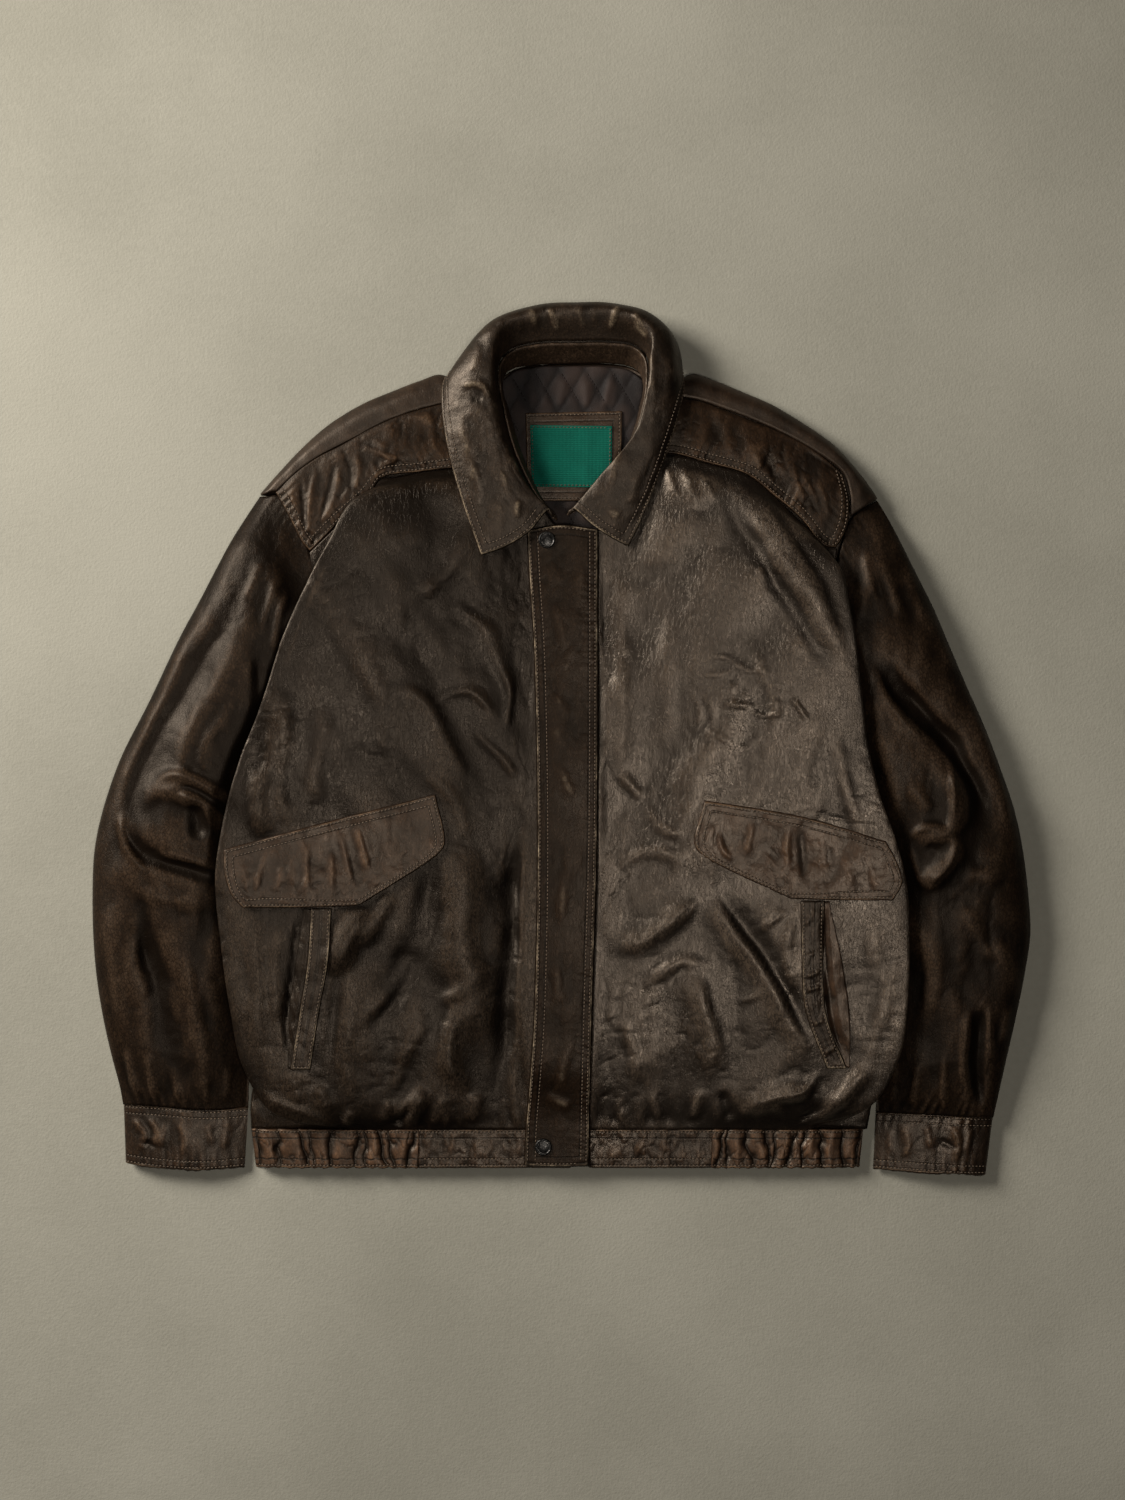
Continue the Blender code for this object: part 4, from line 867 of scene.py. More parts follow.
# Yokes
YOKE_CROWN = 1.5
YOKE_RIGHT = edges_of(
    [(500, 398, 19.5), (470, 399.5, 20.5), (443, 405.5, 21), (400, 417.5, 21.5), (370, 431, 21.5),
     (340, 448, 21.5), (320, 458, 21), (297, 474, 20.5), (277, 493, 19)],
    [(519.5, 466, 22), (488, 467.5, 23.5), (457, 468.5, 24.6), (420, 472.5, 25), (383, 478.5, 24.5),
     (369, 496, 24), (340, 522.5, 23.5), (311, 551, 23)],
    [(508, 430, 20.5)],
    [(288.5, 513, 21.5), (303, 541, 23)])
YOKE_LEFT = edges_of(
    [(642, 399, 19.5), (672, 399.5, 20.5), (697, 402.5, 21), (740, 418, 21.5), (773, 431, 21.5),
     (807, 448, 21), (823, 459, 20.5), (841, 475, 19)],
    [(625, 464, 22), (646, 456.5, 23.5), (670, 454, 24.6), (707, 463.5, 25), (747, 475.5, 25),
     (773, 495.5, 25), (800, 519, 25), (822, 545, 24.5), (834.5, 548, 23.5)],
    [(635, 430, 20.5)],
    [(847.5, 500, 21.5), (845.5, 527, 23)])
YOKE_RIGHT_FOLDS = [
    (1.2, 2.0, 3.0, 305, 545, 296, 512, 291, 486), (-1.1, 2.0, 2.4, 308, 542, 304, 508, 303, 474),
    (1.5, 2.2, 3.4, 310, 540, 310, 505, 317, 468), (0.9, 2.0, 2.6, 314, 536, 322, 510, 325, 488),
    (-1.2, 2.2, 2.6, 317, 533, 326, 500, 337, 458), (1.5, 2.4, 3.4, 320, 530, 334, 498, 341, 462),
    (0.9, 2.4, 2.8, 327, 524, 340, 502, 356, 480), (-1.0, 2.4, 2.4, 350, 500, 352, 470, 346, 450),
    (1.1, 2.6, 3.0, 356, 494, 361, 470, 356, 450), (1.5, 3, 4, 360, 447, 380, 454, 402, 465),
    (1.7, 2.6, 4, 403, 455, 388, 467, 373, 482), (-1.0, 2.4, 2.4, 396, 462, 380, 474),
    (1.0, 3, 4, 372, 440, 392, 452), (0.8, 6, 6, 420, 410, 445, 452), (0.6, 4, 4, 408, 416, 440, 426),
    (0.6, 4, 4, 430, 440, 452, 462), (-0.8, 2.0, 2.0, 283, 492, 292, 506, 300, 524),
]
YOKE_LEFT_FOLDS = [
    (-1.8, 7, 7, 757, 448, 775, 478, 792, 508), (0.9, 5, 5, 742, 436, 762, 470, 778, 494),
    (1.3, 2.6, 3.0, 804, 468, 816, 508), (1.0, 2.6, 3.0, 793, 462, 803, 505),
    (1.1, 2.6, 3.0, 818, 478, 828, 520), (1.4, 3, 4, 838, 482, 846, 504, 838, 528),
    (0.7, 5, 5, 700, 415, 706, 456), (0.6, 4, 4, 665, 410, 668, 450), (0.7, 5, 6, 722, 420, 730, 462),
    (0.8, 4, 4, 782, 442, 790, 470),
]


def make_yokes():
    """Crowned panels between the shoulder seam, the armhole and the gathered lower seam."""
    steps = (130, 56)
    across = np.linspace(0, 1, steps[0] + 1)
    down = np.linspace(0, 1, steps[1] + 1)
    for name, edges, lines, seed in (("yoke_right", YOKE_RIGHT, YOKE_RIGHT_FOLDS, 2.2),
                                     ("yoke_left", YOKE_LEFT, YOKE_LEFT_FOLDS, 5.7)):
        grid = patch(*edges, steps)
        inside = np.outer(ease(down / 0.1) * ease((1 - down) / 0.06), ease((1 - across) / 0.04))
        plan = grid[..., :2]
        relief = 0.75 * folds(plan, lines, seed, 5.0) + 1.8 * uneven(plan, 30, 30, seed)
        relief += 0.5 * uneven(plan, 9, 16, seed + 2) + 0.12 * uneven(plan, 4, 6, seed + 4)
        relief += 0.8 * creases(plan, 14, seed + 5, 7.0) + 0.4 * creases(plan, 8, seed + 7, 7.0)
        relief *= inside
        grid[..., 2] += YOKE_CROWN * np.outer(np.sin(math.pi * down), np.sin(math.pi * across)) + relief
        grid = to_mm(grid)
        gathered = puckers(grid, "bottom", 7, 0.6, 14, seed + 6)
        gathered += puckers(grid, "right", 7, 0.6, 14, seed + 8)
        grid[..., 2] += gathered
        cloth(name, grid, LEATHER, "yoke", relief + gathered,
              rows_of("bottom right", trims=(1, 1)), "yokes")


# Sleeves and cuffs
RIGHT_ARMHOLE = [
    (259.5, 496.5, 9), (268, 496.8, 15.5), (278, 496.5, 17.5), (291, 512, 19.5), (305, 540, 21),
    (313, 564, 21.5), (321, 590, 21), (325.5, 620, 17), (323, 657, 11), (308, 700, 5),
]
RIGHT_OUTER = [
    (259.5, 496.5), (246, 517), (230, 543), (200, 600), (180, 637), (150, 700), (120, 760), (102, 813),
    (94.5, 850), (92.5, 890), (93.5, 940), (97, 980), (104, 1022), (112, 1057), (120, 1087),
    (123, 1103.5),
]
RIGHT_INNER = [
    (308, 700), (288, 745), (266, 800), (252, 850), (247, 900), (248, 950), (249, 1000), (248.5, 1050),
    (247.5, 1108),
]
RIGHT_CUFF_SEAM = [(123, 1103.5), (165, 1106), (210, 1109.5), (247.5, 1108)]
RIGHT_CUFF_HEM = [(125, 1163), (163, 1167.5), (205, 1169.5), (244, 1167.5)]

LEFT_ARMHOLE = [
    (878, 501, 9), (867.5, 507, 15.5), (858, 513, 17.5), (849, 524, 19.5), (840, 552, 21),
    (834, 581, 19.5), (832, 614, 16), (834, 650, 11), (841, 699, 5),
]
LEFT_OUTER = [
    (878, 501), (891, 523), (913, 567), (933, 607), (950, 647), (967, 687), (983, 723), (1000, 767),
    (1015, 812), (1023, 850), (1028.5, 895), (1030.5, 933), (1026, 967), (1017, 1013), (1007, 1057),
    (998, 1097), (993.5, 1117),
]
LEFT_INNER = [
    (841, 699), (848, 745), (857, 795), (870, 840), (880, 888), (882, 945), (880, 1003), (880, 1050),
    (877, 1113),
]
LEFT_CUFF_SEAM = [(993.5, 1117), (950, 1115), (910, 1113), (877, 1113)]
LEFT_CUFF_HEM = [(986.5, 1175), (950, 1173), (905, 1170.5), (874, 1169)]

SLEEVE_HEIGHT = [(0, 24), (0.08, 31), (0.2, 35), (0.45, 36), (0.7, 33), (0.9, 27), (0.97, 20), (1, 16.5)]
SLEEVE_EDGES = (11, 4)
SLEEVE_STEPS = (104, 44)
SLEEVE_ROWS = 233
CUFF_HEIGHT = [(0, 15), (1, 15)]
CUFF_EDGES = (7, 6)
CUFF_STEPS = (90, 46)
CUFF_ROWS = 43
CUFF_GAP = 0.8
SOFTNESS = 1.5

RIGHT_SLEEVE_FOLDS = [
    (-3.0, 18, 18, 240, 620, 196, 690, 150, 780, 128, 850),
    (3.0, 8, 10, 232, 838, 200, 800, 160, 790, 140, 815),
    (-3.6, 7, 10, 240, 880, 190, 868, 140, 850, 126, 820),
    (-3.5, 12, 16, 140, 900, 160, 960, 172, 1040, 195, 1090),
    (-1.6, 8, 9, 256, 560, 232, 620, 190, 682, 135, 790, 132, 840),
    (1.6, 10, 10, 246, 632, 215, 690, 182, 745, 188, 785), (1.6, 8, 8, 206, 602, 165, 690, 122, 795),
    (1.9, 4, 5, 290, 588, 280, 625, 275, 662), (1.2, 4, 4, 282, 570, 262, 640),
    (1.3, 3, 4, 301, 600, 293, 650), (1.1, 4, 5, 268, 556, 248, 604), (-2.2, 5, 6, 262, 655, 256, 745),
    (2.4, 5, 6, 150, 786, 172, 774, 196, 778, 218, 792, 240, 810),
    (-1.6, 4, 5, 168, 800, 190, 788, 214, 800, 234, 822), (-2.8, 8, 9, 203, 798, 200, 842),
    (1.4, 5, 5, 222, 812, 232, 836), (2.6, 3.6, 4, 124, 812, 127, 840, 139, 860, 152, 872),
    (1.8, 4, 5, 152, 852, 200, 861, 232, 872), (1.2, 7, 8, 130, 880, 170, 898, 220, 900),
    (-1.8, 7, 8, 142, 872, 150, 950, 170, 1028), (1.7, 7, 8, 182, 940, 200, 1020, 214, 1092),
    (1.2, 7, 8, 112, 900, 116, 980, 130, 1040), (1.2, 8, 8, 236, 900, 212, 962, 226, 1042),
    (0.9, 7, 7, 205, 930, 236, 1000), (1.9, 4, 4, 126, 1042, 134, 1080, 143, 1098),
    (1.4, 4, 4, 150, 1050, 158, 1102), (1.2, 4, 4, 175, 1060, 181, 1106),
    (1.0, 4, 4, 206, 1072, 207, 1108), (1.0, 4, 4, 229, 1060, 227, 1106),
    (0.9, 6, 6, 240, 700, 205, 760, 222, 780),
]
LEFT_SLEEVE_FOLDS = [
    (-5.0, 14, 12, 862, 650, 900, 700, 950, 750, 975, 800, 990, 860),
    (4.0, 8, 10, 906, 835, 948, 828, 950, 760), (4.0, 8, 10, 915, 890, 950, 850, 952, 830),
    (-4.0, 6, 10, 978, 1000, 976, 1060, 978, 1112),
    (-2.2, 5, 7, 880, 652, 906, 692, 945, 736, 975, 790, 986, 832),
    (2.4, 5, 6, 868, 662, 900, 720, 946, 750), (2.0, 3, 3, 948, 758, 949, 795, 946, 830),
    (2.0, 3, 3, 904, 838, 922, 826, 946, 825), (2.0, 3, 3, 946, 828, 951, 845, 944, 864, 922, 888),
    (1.4, 3, 3, 905, 842, 914, 868, 922, 888), (-1.2, 5, 5, 922, 842, 936, 852),
    (1.8, 7, 8, 966, 692, 1000, 788, 1014, 860), (1.2, 8, 8, 920, 600, 955, 680),
    (1.6, 8, 9, 986, 930, 1006, 965, 1014, 1000), (1.9, 5, 4, 966, 1000, 962, 1060, 970, 1102),
    (1.6, 4, 4, 985, 1000, 990, 1062), (1.3, 4, 4, 940, 1050, 944, 1112),
    (1.2, 4, 4, 915, 1060, 912, 1112), (1.0, 3, 4, 893, 1050, 892, 1112), (1.3, 5, 5, 880, 560, 902, 622),
    (1.1, 4, 4, 863, 545, 870, 602), (1.0, 6, 6, 900, 556, 930, 640),
    (1.4, 8, 8, 895, 905, 928, 960, 918, 1040), (1.2, 7, 7, 958, 900, 990, 962),
    (1.0, 6, 6, 960, 870, 1000, 882), (1.2, 6, 6, 905, 780, 930, 812),
    (1.2, 5, 5, 1008, 1000, 1000, 1050), (1.2, 7, 7, 870, 720, 890, 780, 900, 830),
]


def tucked(plan, height, edge, turn):
    """Height kept low enough to pass under the rolled edge of the front that lies over a sleeve."""
    edge = np.array(edge, float)[:, :2]
    roof = np.array(turn, float)[:, 2] - 2 * LEATHER
    best = np.full(plan.shape[:2], np.inf)
    limit = np.zeros(plan.shape[:2])
    for index, (_, share, distance, on_far_side) in enumerate(legs_of(plan, edge)):
        outward = np.where(on_far_side == (edge[0, 0] < CENTRE_LINE), distance, -0.6 * distance)
        under = roof[index] + share * (roof[index + 1] - roof[index])
        limit = np.where(distance < best, under + outward, limit)
        best = np.minimum(best, distance)
    return -SOFTNESS * np.log(np.exp(-height / SOFTNESS) + np.exp(-limit / SOFTNESS))


def tube_grid(edges, heights, lines, steps, down, edge_heights, seed, cover=None):
    """Flattened tube on the floor: its plan lies between four edges, its top is a lopsided crown.

    The ring runs over the top from the outer edge to the inner edge and back along the floor. A
    sleeve rises from its armhole and passes under the front's edge, its cover.
    """
    over_steps, under_steps = steps
    outer_edge, inner_edge = edge_heights
    top, bottom, outer, inner = edges
    angle = np.concatenate([np.arange(over_steps) * math.pi / over_steps,
                            math.pi + np.arange(under_steps) * math.pi / under_steps])
    share = (1 - np.cos(angle)) / 2
    plan = between(at(np.array(top)[:, :2], share), at(bottom, share), at(outer, down), at(inner, down),
                   share, down)
    off_middle = np.abs(2 * share - 1)[None, :]
    edge = (outer_edge + (inner_edge - outer_edge) * share)[None, :]
    crown = np.where(share[None, :] < 0.5, np.sqrt(1 - off_middle**3.4), 1 - off_middle**1.8)
    height = np.interp(down, *np.array(heights).T)[:, None]
    upper = edge + (height - edge) * crown
    if cover:
        near = ease(down / 0.10)[:, None]
        upper = (1 - near) * at(top, share)[None, :, 2] + near * upper
        edge = (1 - near) * np.minimum(edge, at(top, share)[None, :, 2]) + near * edge
    flatness = np.sqrt(1 - np.clip((off_middle - 0.75) / 0.25, 0, 1)**2)
    lower = edge * (1 - flatness)
    over = (np.sin(angle) > 1e-6)[None, :]
    window = np.sqrt(crown) * ease(down / 0.05)[:, None] * ease((1 - down) / 0.03)[:, None]
    relief = 1.5 * folds(plan, lines, seed, 3.0) + 1.9 * uneven(plan, 34, 70, seed)
    relief += 0.9 * uneven(plan, 14, 30, seed + 2) + 0.2 * uneven(plan, 7, 13, seed + 4)
    relief += 0.08 * uneven(plan, 4, 7, seed + 6) + 0.5 * creases(plan, 24, seed + 5)
    relief += 0.2 * creases(plan, 12, seed + 9)
    relief *= window * (1 if cover else 0.8)
    upper = upper + relief
    if cover:
        reach = ease((down - 0.04) / 0.06)[:, None]
        upper = upper + reach * (np.maximum(tucked(plan, upper, *cover), edge + 1) - upper)
    ends = np.abs(np.sin(angle))[None, :] < 1e-6
    z = np.where(ends, edge, np.where(over, upper, lower))
    grid = to_mm(np.dstack([plan, z]))
    count = over_steps + 1
    for side, height in (("top", 0.6), ("bottom", 0.9)):
        ripple = puckers(grid[:, :count], side, 8, height, 14, seed + 8) * np.sin(angle[:count])[None, :]
        grid[:, :count, 2] += ripple
        relief[:, :count] += ripple
    return grid, relief * over


def make_sleeves():
    down = np.linspace(0, 1, SLEEVE_ROWS)
    # Each sleeve's pair of offsets is painted light and shade: the right sleeve is painted darker above and
    # lighter below, the left lighter above than below.
    for name, edges, lines, cover, wear_and_light_amount, seed in (
            ("sleeve_right", (RIGHT_ARMHOLE, RIGHT_CUFF_SEAM, RIGHT_OUTER, RIGHT_INNER), RIGHT_SLEEVE_FOLDS,
             (RIGHT_EDGE, RIGHT_TURN), (-0.35, 0.28), 4.3),
            ("sleeve_left", (LEFT_ARMHOLE, LEFT_CUFF_SEAM, LEFT_OUTER, LEFT_INNER), LEFT_SLEEVE_FOLDS,
             (LEFT_EDGE, LEFT_TURN), (0.28, 0.15), 6.9)):
        grid, relief = tube_grid(edges, SLEEVE_HEIGHT, lines, SLEEVE_STEPS, down, SLEEVE_EDGES, seed, cover)
        cloth(name, grid, LEATHER, "sleeve", relief, wear_and_painted_light=painted_light_drift(grid, *wear_and_light_amount), ring=True)


RIGHT_CUFF_FOLDS = [
    (1.5, 3, 4, 132, 1118, 146, 1134, 141, 1152), (1.3, 3, 4, 148, 1114, 158, 1132, 152, 1150),
    (1.0, 3, 3, 166, 1122, 160, 1148), (0.9, 4, 4, 176, 1118, 186, 1142, 182, 1158),
    (0.9, 4, 5, 205, 1120, 214, 1148), (0.9, 4, 4, 228, 1116, 224, 1152),
    (-0.9, 3, 3, 138, 1142, 160, 1146),
]
LEFT_CUFF_FOLDS = [
    (1.0, 4, 4, 900, 1122, 908, 1145, 902, 1160), (1.2, 3, 4, 925, 1124, 932, 1150),
    (1.3, 3, 4, 948, 1124, 958, 1142, 952, 1162), (1.1, 3, 4, 972, 1126, 966, 1155),
    (0.8, 4, 4, 886, 1126, 890, 1156), (-0.8, 3, 3, 936, 1140, 960, 1150),
]


def make_cuffs():
    for name, seam, hem, lines, seed in (
            ("cuff_right", RIGHT_CUFF_SEAM, RIGHT_CUFF_HEM, RIGHT_CUFF_FOLDS, 1.3),
            ("cuff_left", LEFT_CUFF_SEAM, LEFT_CUFF_HEM, LEFT_CUFF_FOLDS, 9.2)):
        edges = edges_of([(x, y + CUFF_GAP) for x, y in seam], hem)
        down = np.linspace(0, 1, CUFF_ROWS)
        grid, relief = tube_grid(edges, CUFF_HEIGHT, lines, CUFF_STEPS, down, CUFF_EDGES, seed)
        cloth(name, grid, FOLDED_LEATHER, "cuff", relief,
              rows_of("top bottom", trims=(0, 0)), "cuffs", ring=True)


# Back
BACK_LEFT_SIDE = [
    (851.5, 1129.5), (850, 1060), (843, 1000), (839, 940), (837, 880), (834, 828), (833, 768),
    (837.5, 700), (832.6, 650), (832.6, 614), (836, 583), (839, 553), (849.5, 527),
]
BACK_RIGHT_SIDE = [
    (270.5, 1129.5), (278, 1060), (284, 1000), (286, 940), (287, 880), (289, 828), (294, 768),
    (311.5, 700), (325, 657), (327.5, 620), (321.5, 590), (312.5, 562), (292, 513),
]
BACK_TOP = [
    (277, 491, 19.3), (297, 472, 20.3), (320, 456, 20.8), (350, 440.5, 21.2), (385, 422, 21.3),
    (415, 411, 21.3), (443, 403.5, 21), (470, 397.5, 19), (488, 387, 13), (503, 375, 5), (520, 367, 0.8),
    (545, 364, 0), (575, 363, 0), (605, 363, 0), (628, 366, 0.8), (642, 373, 5), (655, 384, 13),
    (671, 394.5, 19), (697, 400, 21), (730, 411.5, 21.3), (760, 423, 21.3), (790, 437, 21),
    (823, 456.5, 20.5), (843.5, 473, 19.5), (850.5, 495, 20), (850, 516, 20),
]
BACK_OUTLINE = [
    (260.5, 493.5, 9.5), (280, 471.5, 9.5), (300, 450, 9.5), (328, 425, 9.5), (362, 404, 9.5),
    (395, 390, 9.5), (420, 380.5, 9.5), (440, 374.5, 9.5), (461, 386, 7), (488, 389, 2.5),
    (512, 382, 0.2), (540, 373, 0), (572, 373, 0), (605, 373, 0), (634, 382, 0.2), (655, 388, 2.5),
    (675, 386, 7), (691, 374, 9.5), (714, 380, 9.5), (742, 391.5, 9.5), (773, 405, 9.5), (803, 423, 9.5),
    (832, 443.5, 9.5), (853, 465, 9.5), (866, 481, 9.5), (877.5, 497.5, 9.5),
]
BACK_INSET = 20
BACK_WRAP = 0.35
BACK_CLIMB = 0.82
BACK_CORNERS = {0: (280, 497, 0), 1: (294, 489, 0), -2: (851, 498, 0), -1: (862, 503, 0)}


def make_back():
    """Flat on the floor, and rolled over the shoulders to the forward shoulder seam."""
    top = np.array(BACK_TOP, float)
    outline = np.array(BACK_OUTLINE, float)
    over = outline + (BACK_WRAP, BACK_WRAP, BACK_CLIMB) * (top - outline)
    inward = unit(np.gradient(outline[:, :2], axis=0))[:, ::-1] * (-BACK_INSET, BACK_INSET)
    floor = np.column_stack([outline[:, :2] + inward, np.zeros(len(outline))])
    for place, corner in BACK_CORNERS.items():
        floor[place] = corner
    share = (floor[:, 0] - floor[0, 0]) / (floor[-1, 0] - floor[0, 0])
    share = np.maximum.accumulate(share)
    rows = []
    for left, right in zip(BACK_LEFT_SIDE, BACK_RIGHT_SIDE):
        row = np.outer(1 - share, right) + np.outer(share, left)
        rows.append(np.column_stack([row, np.zeros(len(share))]))
    net = np.array(rows + [floor, outline, over, top])
    grid = surface(net, [4] * (len(rows) - 1) + [6, 12, 12, 6], [8] * (len(share) - 1))
    grid[..., 2] = np.maximum(grid[..., 2], 0)
    wrapped = ease(grid[..., 2] / 14)
    plan = grid[..., :2]
    relief = (0.7 * uneven(plan, 26, 26, 7.7) + 0.5 * uneven(plan, 9, 14, 2.9)
              + 0.2 * uneven(plan, 4, 5, 1.9)) * wrapped
    grid[..., 2] += relief
    grid = to_mm(grid)
    cloth("back", grid, LINING, "back", relief, outer="down")
    return tree_of(grid)


# Collar
STAND_FOOT = [
    (556, 522, 24), (540, 500, 24), (519, 452, 24.5), (507, 412, 23), (501, 392, 21), (503, 374, 12),
    (515, 365.5, 6), (540, 362, 4.6), (575, 361, 4.6), (610, 361, 4.6), (632, 364.5, 6), (641, 372, 12),
    (645, 386, 20), (643, 404, 23), (630, 446, 24.5), (602, 494, 24), (568, 517, 24),
]
STAND_SEAM = [
    (554, 517, 27), (535, 496, 28), (513, 450, 30), (503, 410, 30), (499, 387, 29), (500, 364, 26),
    (512, 350, 23), (540, 343, 22), (575, 342, 22), (610, 342, 22), (634, 346, 23), (646, 358, 27),
    (648, 378, 29), (646, 402, 30), (633, 445, 30), (602, 490, 28), (570, 513, 27),
]
ROLL = [
    (549, 511, 30), (526, 487, 34), (502, 442, 38), (493.5, 404, 40), (493, 372, 41), (495, 343, 39),
    (507, 324, 36), (540, 314.5, 33), (575, 312.5, 33), (610, 313.5, 33), (638, 321, 36), (652, 337, 39),
    (650.5, 362, 40), (646, 396, 40), (634, 436, 38), (597, 481, 34), (573, 510, 30),
]
LEAF = [
    (529, 533, 32), (500, 496, 37), (478, 447, 39), (472, 405, 40), (474, 368, 40), (479, 341, 34),
    (494, 322, 27), (540, 306.5, 24), (575, 304.5, 24), (610, 305, 24), (648, 314.5, 26), (667, 333, 30),
    (670, 362, 37), (664, 400, 38), (652, 444, 38), (622, 496, 36), (594, 527.5, 32),
]
LEAF_FALL = [
    (505, 548, 33), (479, 503, 35.5), (461, 450, 35), (454, 407, 34), (455, 372, 31), (463, 354, 19),
    (486, 334, 11), (540, 311.5, 8), (575, 309, 8), (610, 309.5, 8), (652, 325, 10), (677, 345, 17),
    (681, 370, 25), (676, 406, 33), (664, 446, 34), (640, 503, 33), (612, 539, 31),
]
LEAF_EDGE = [
    (482, 556, 31.5), (464, 505, 33), (448.5, 449, 31), (442.5, 405, 27.5), (444.5, 381, 21),
    (456, 373, 6), (482, 359, 0), (540, 350, 0), (575, 350, 0), (610, 350, 0), (650, 354, 0),
    (673, 362, 6), (683.5, 383, 19), (680, 409, 28), (669, 446, 30), (648, 504, 30.5), (628, 547, 28.5),
]
COLLAR_FOLDS = [
    (1.9, 3, 3.5, 460, 393, 470, 388, 484, 391, 491, 406), (-1.2, 4, 4, 472, 400, 484, 402),
    (1.0, 6, 6, 460, 402, 468, 450, 482, 500), (1.2, 3, 3, 517, 500, 518, 521),
    (-0.8, 6, 7, 474, 430, 482, 470, 494, 505), (0.7, 4, 5, 500, 470, 510, 505),
    (1.2, 3, 3, 548, 308, 560, 336), (1.7, 3, 3, 620, 306, 606, 336),
    (1.7, 3, 3, 632, 314, 640, 330, 648, 345), (0.7, 4, 4, 576, 306, 586, 336),
    (0.9, 3, 3, 530, 310, 537, 332), (0.7, 3, 3, 597, 308, 592, 332),
    (1.1, 3, 4, 638, 426, 616, 456, 612, 485, 606, 498), (0.8, 4, 5, 650, 350, 652, 400),
    (0.6, 6, 6, 668, 350, 668, 410), (0.7, 5, 5, 640, 470, 628, 510), (0.8, 5, 5, 480, 345, 474, 380),
    (0.6, 4, 4, 600, 505, 620, 520),
]


def make_collar():
    """Stand from the neck seam up to its own seam, and fall from there over the roll to the free edge."""
    stations = len(ROLL) - 1
    stand_foot = np.array(STAND_FOOT, float)
    stand_seam = np.array(STAND_SEAM, float)
    near_seam = stand_seam + 0.12 * (stand_foot - stand_seam)
    stand = surface(np.array([stand_foot, near_seam]).transpose(1, 0, 2), [12] * stations, [18])
    plan = stand[..., :2]
    relief = 1.5 * uneven(plan, 9, 12, 3.3) + 0.6 * uneven(plan, 4, 6, 8.1) + 0.6 * creases(plan, 8, 1.6)
    stand[..., 2] += relief
    stand = to_mm(stand)
    cloth("collar_stand", stand, LEATHER, "stand", relief,
          rows_of("right", (FIRST_ROW, 5.4), (2, 2)), "collar", outer="down")
    rails = [np.array(line, float) for line in (STAND_SEAM, ROLL, LEAF, LEAF_FALL, LEAF_EDGE)]
    fall = surface(np.array(rails).transpose(1, 0, 2), [18] * stations, [12, 20, 14, 12])
    plan = fall[..., :2]
    reach = np.linspace(0, 1, fall.shape[1])[None, :]
    relief = folds(plan, COLLAR_FOLDS, 5.1, 2.0) + 1.1 * uneven(plan, 24, 24, 5.1)
    relief += 0.3 * uneven(plan, 9, 9, 1.1)
    relief += 0.1 * uneven(plan, 4.5, 4.5, 6.2) + 0.45 * creases(plan, 17, 2.7) + 0.2 * creases(plan, 9, 3.9)
    relief *= ease(reach / 0.15) * ease((1 - reach) / 0.12)
    fall[..., 2] += relief
    fall[..., 2] = np.maximum(fall[..., 2], 0)
    fall = to_mm(fall)
    gathered = puckers(fall, "right", 5.5, 0.28, 9, 4.4)
    fall[..., 2] += gathered * ease(fall[..., 2] / 10)
    # The inner side of the fall is painted lighter: a painted fill light where the roll shades it.
    painted_fill_inner_side = 0.3 * ease((0.30 - reach) / 0.14) * np.ones((fall.shape[0], 1))
    cloth("collar_fall", fall, LEATHER, "collar", relief + gathered,
          rows_of("right") + rows_of("top bottom", trims=(16, None)), "collar", painted_fill_inner_side)


# Placket and waist band
PLACKET_FREE = [
    (527.5, 531), (530, 580), (534, 640), (537, 740), (538, 860), (536.5, 960), (534, 1030), (530, 1085),
    (526.5, 1130), (525.5, 1164),
]
PLACKET_SEWN = [
    (597, 531), (597, 600), (597, 700), (596, 850), (591.5, 1000), (590, 1060), (588.8, 1110),
    (588.5, 1130), (588.3, 1146), (588, 1164),
]
PLACKET_TOP = [(528, 532), (560, 527), (597, 531)]
PLACKET_HEM = [(525.5, 1164), (560, 1165), (588, 1164)]
BAND_SLOPE_FROM = 1060
BAND_SLOPE_OVER = 65
PLACKET_FOLDS = [
    (0.7, 4, 6, 553, 600, 566, 650), (0.6, 5, 6, 580, 560, 575, 640), (0.7, 4, 6, 556, 760, 572, 800),
    (0.8, 5, 7, 568, 850, 560, 930), (0.7, 5, 6, 552, 960, 566, 1010), (0.9, 5, 6, 572, 1030, 560, 1090),
    (0.6, 4, 5, 556, 690, 570, 720), (0.7, 4, 5, 545, 1090, 572, 1105),
]


def band_level(down):
    """Height of the fronts' free edges, which come down to the waist band."""
    return BODY_HEIGHT - (BODY_HEIGHT - BAND_HEIGHT) * ease((down - BAND_SLOPE_FROM) / BAND_SLOPE_OVER)


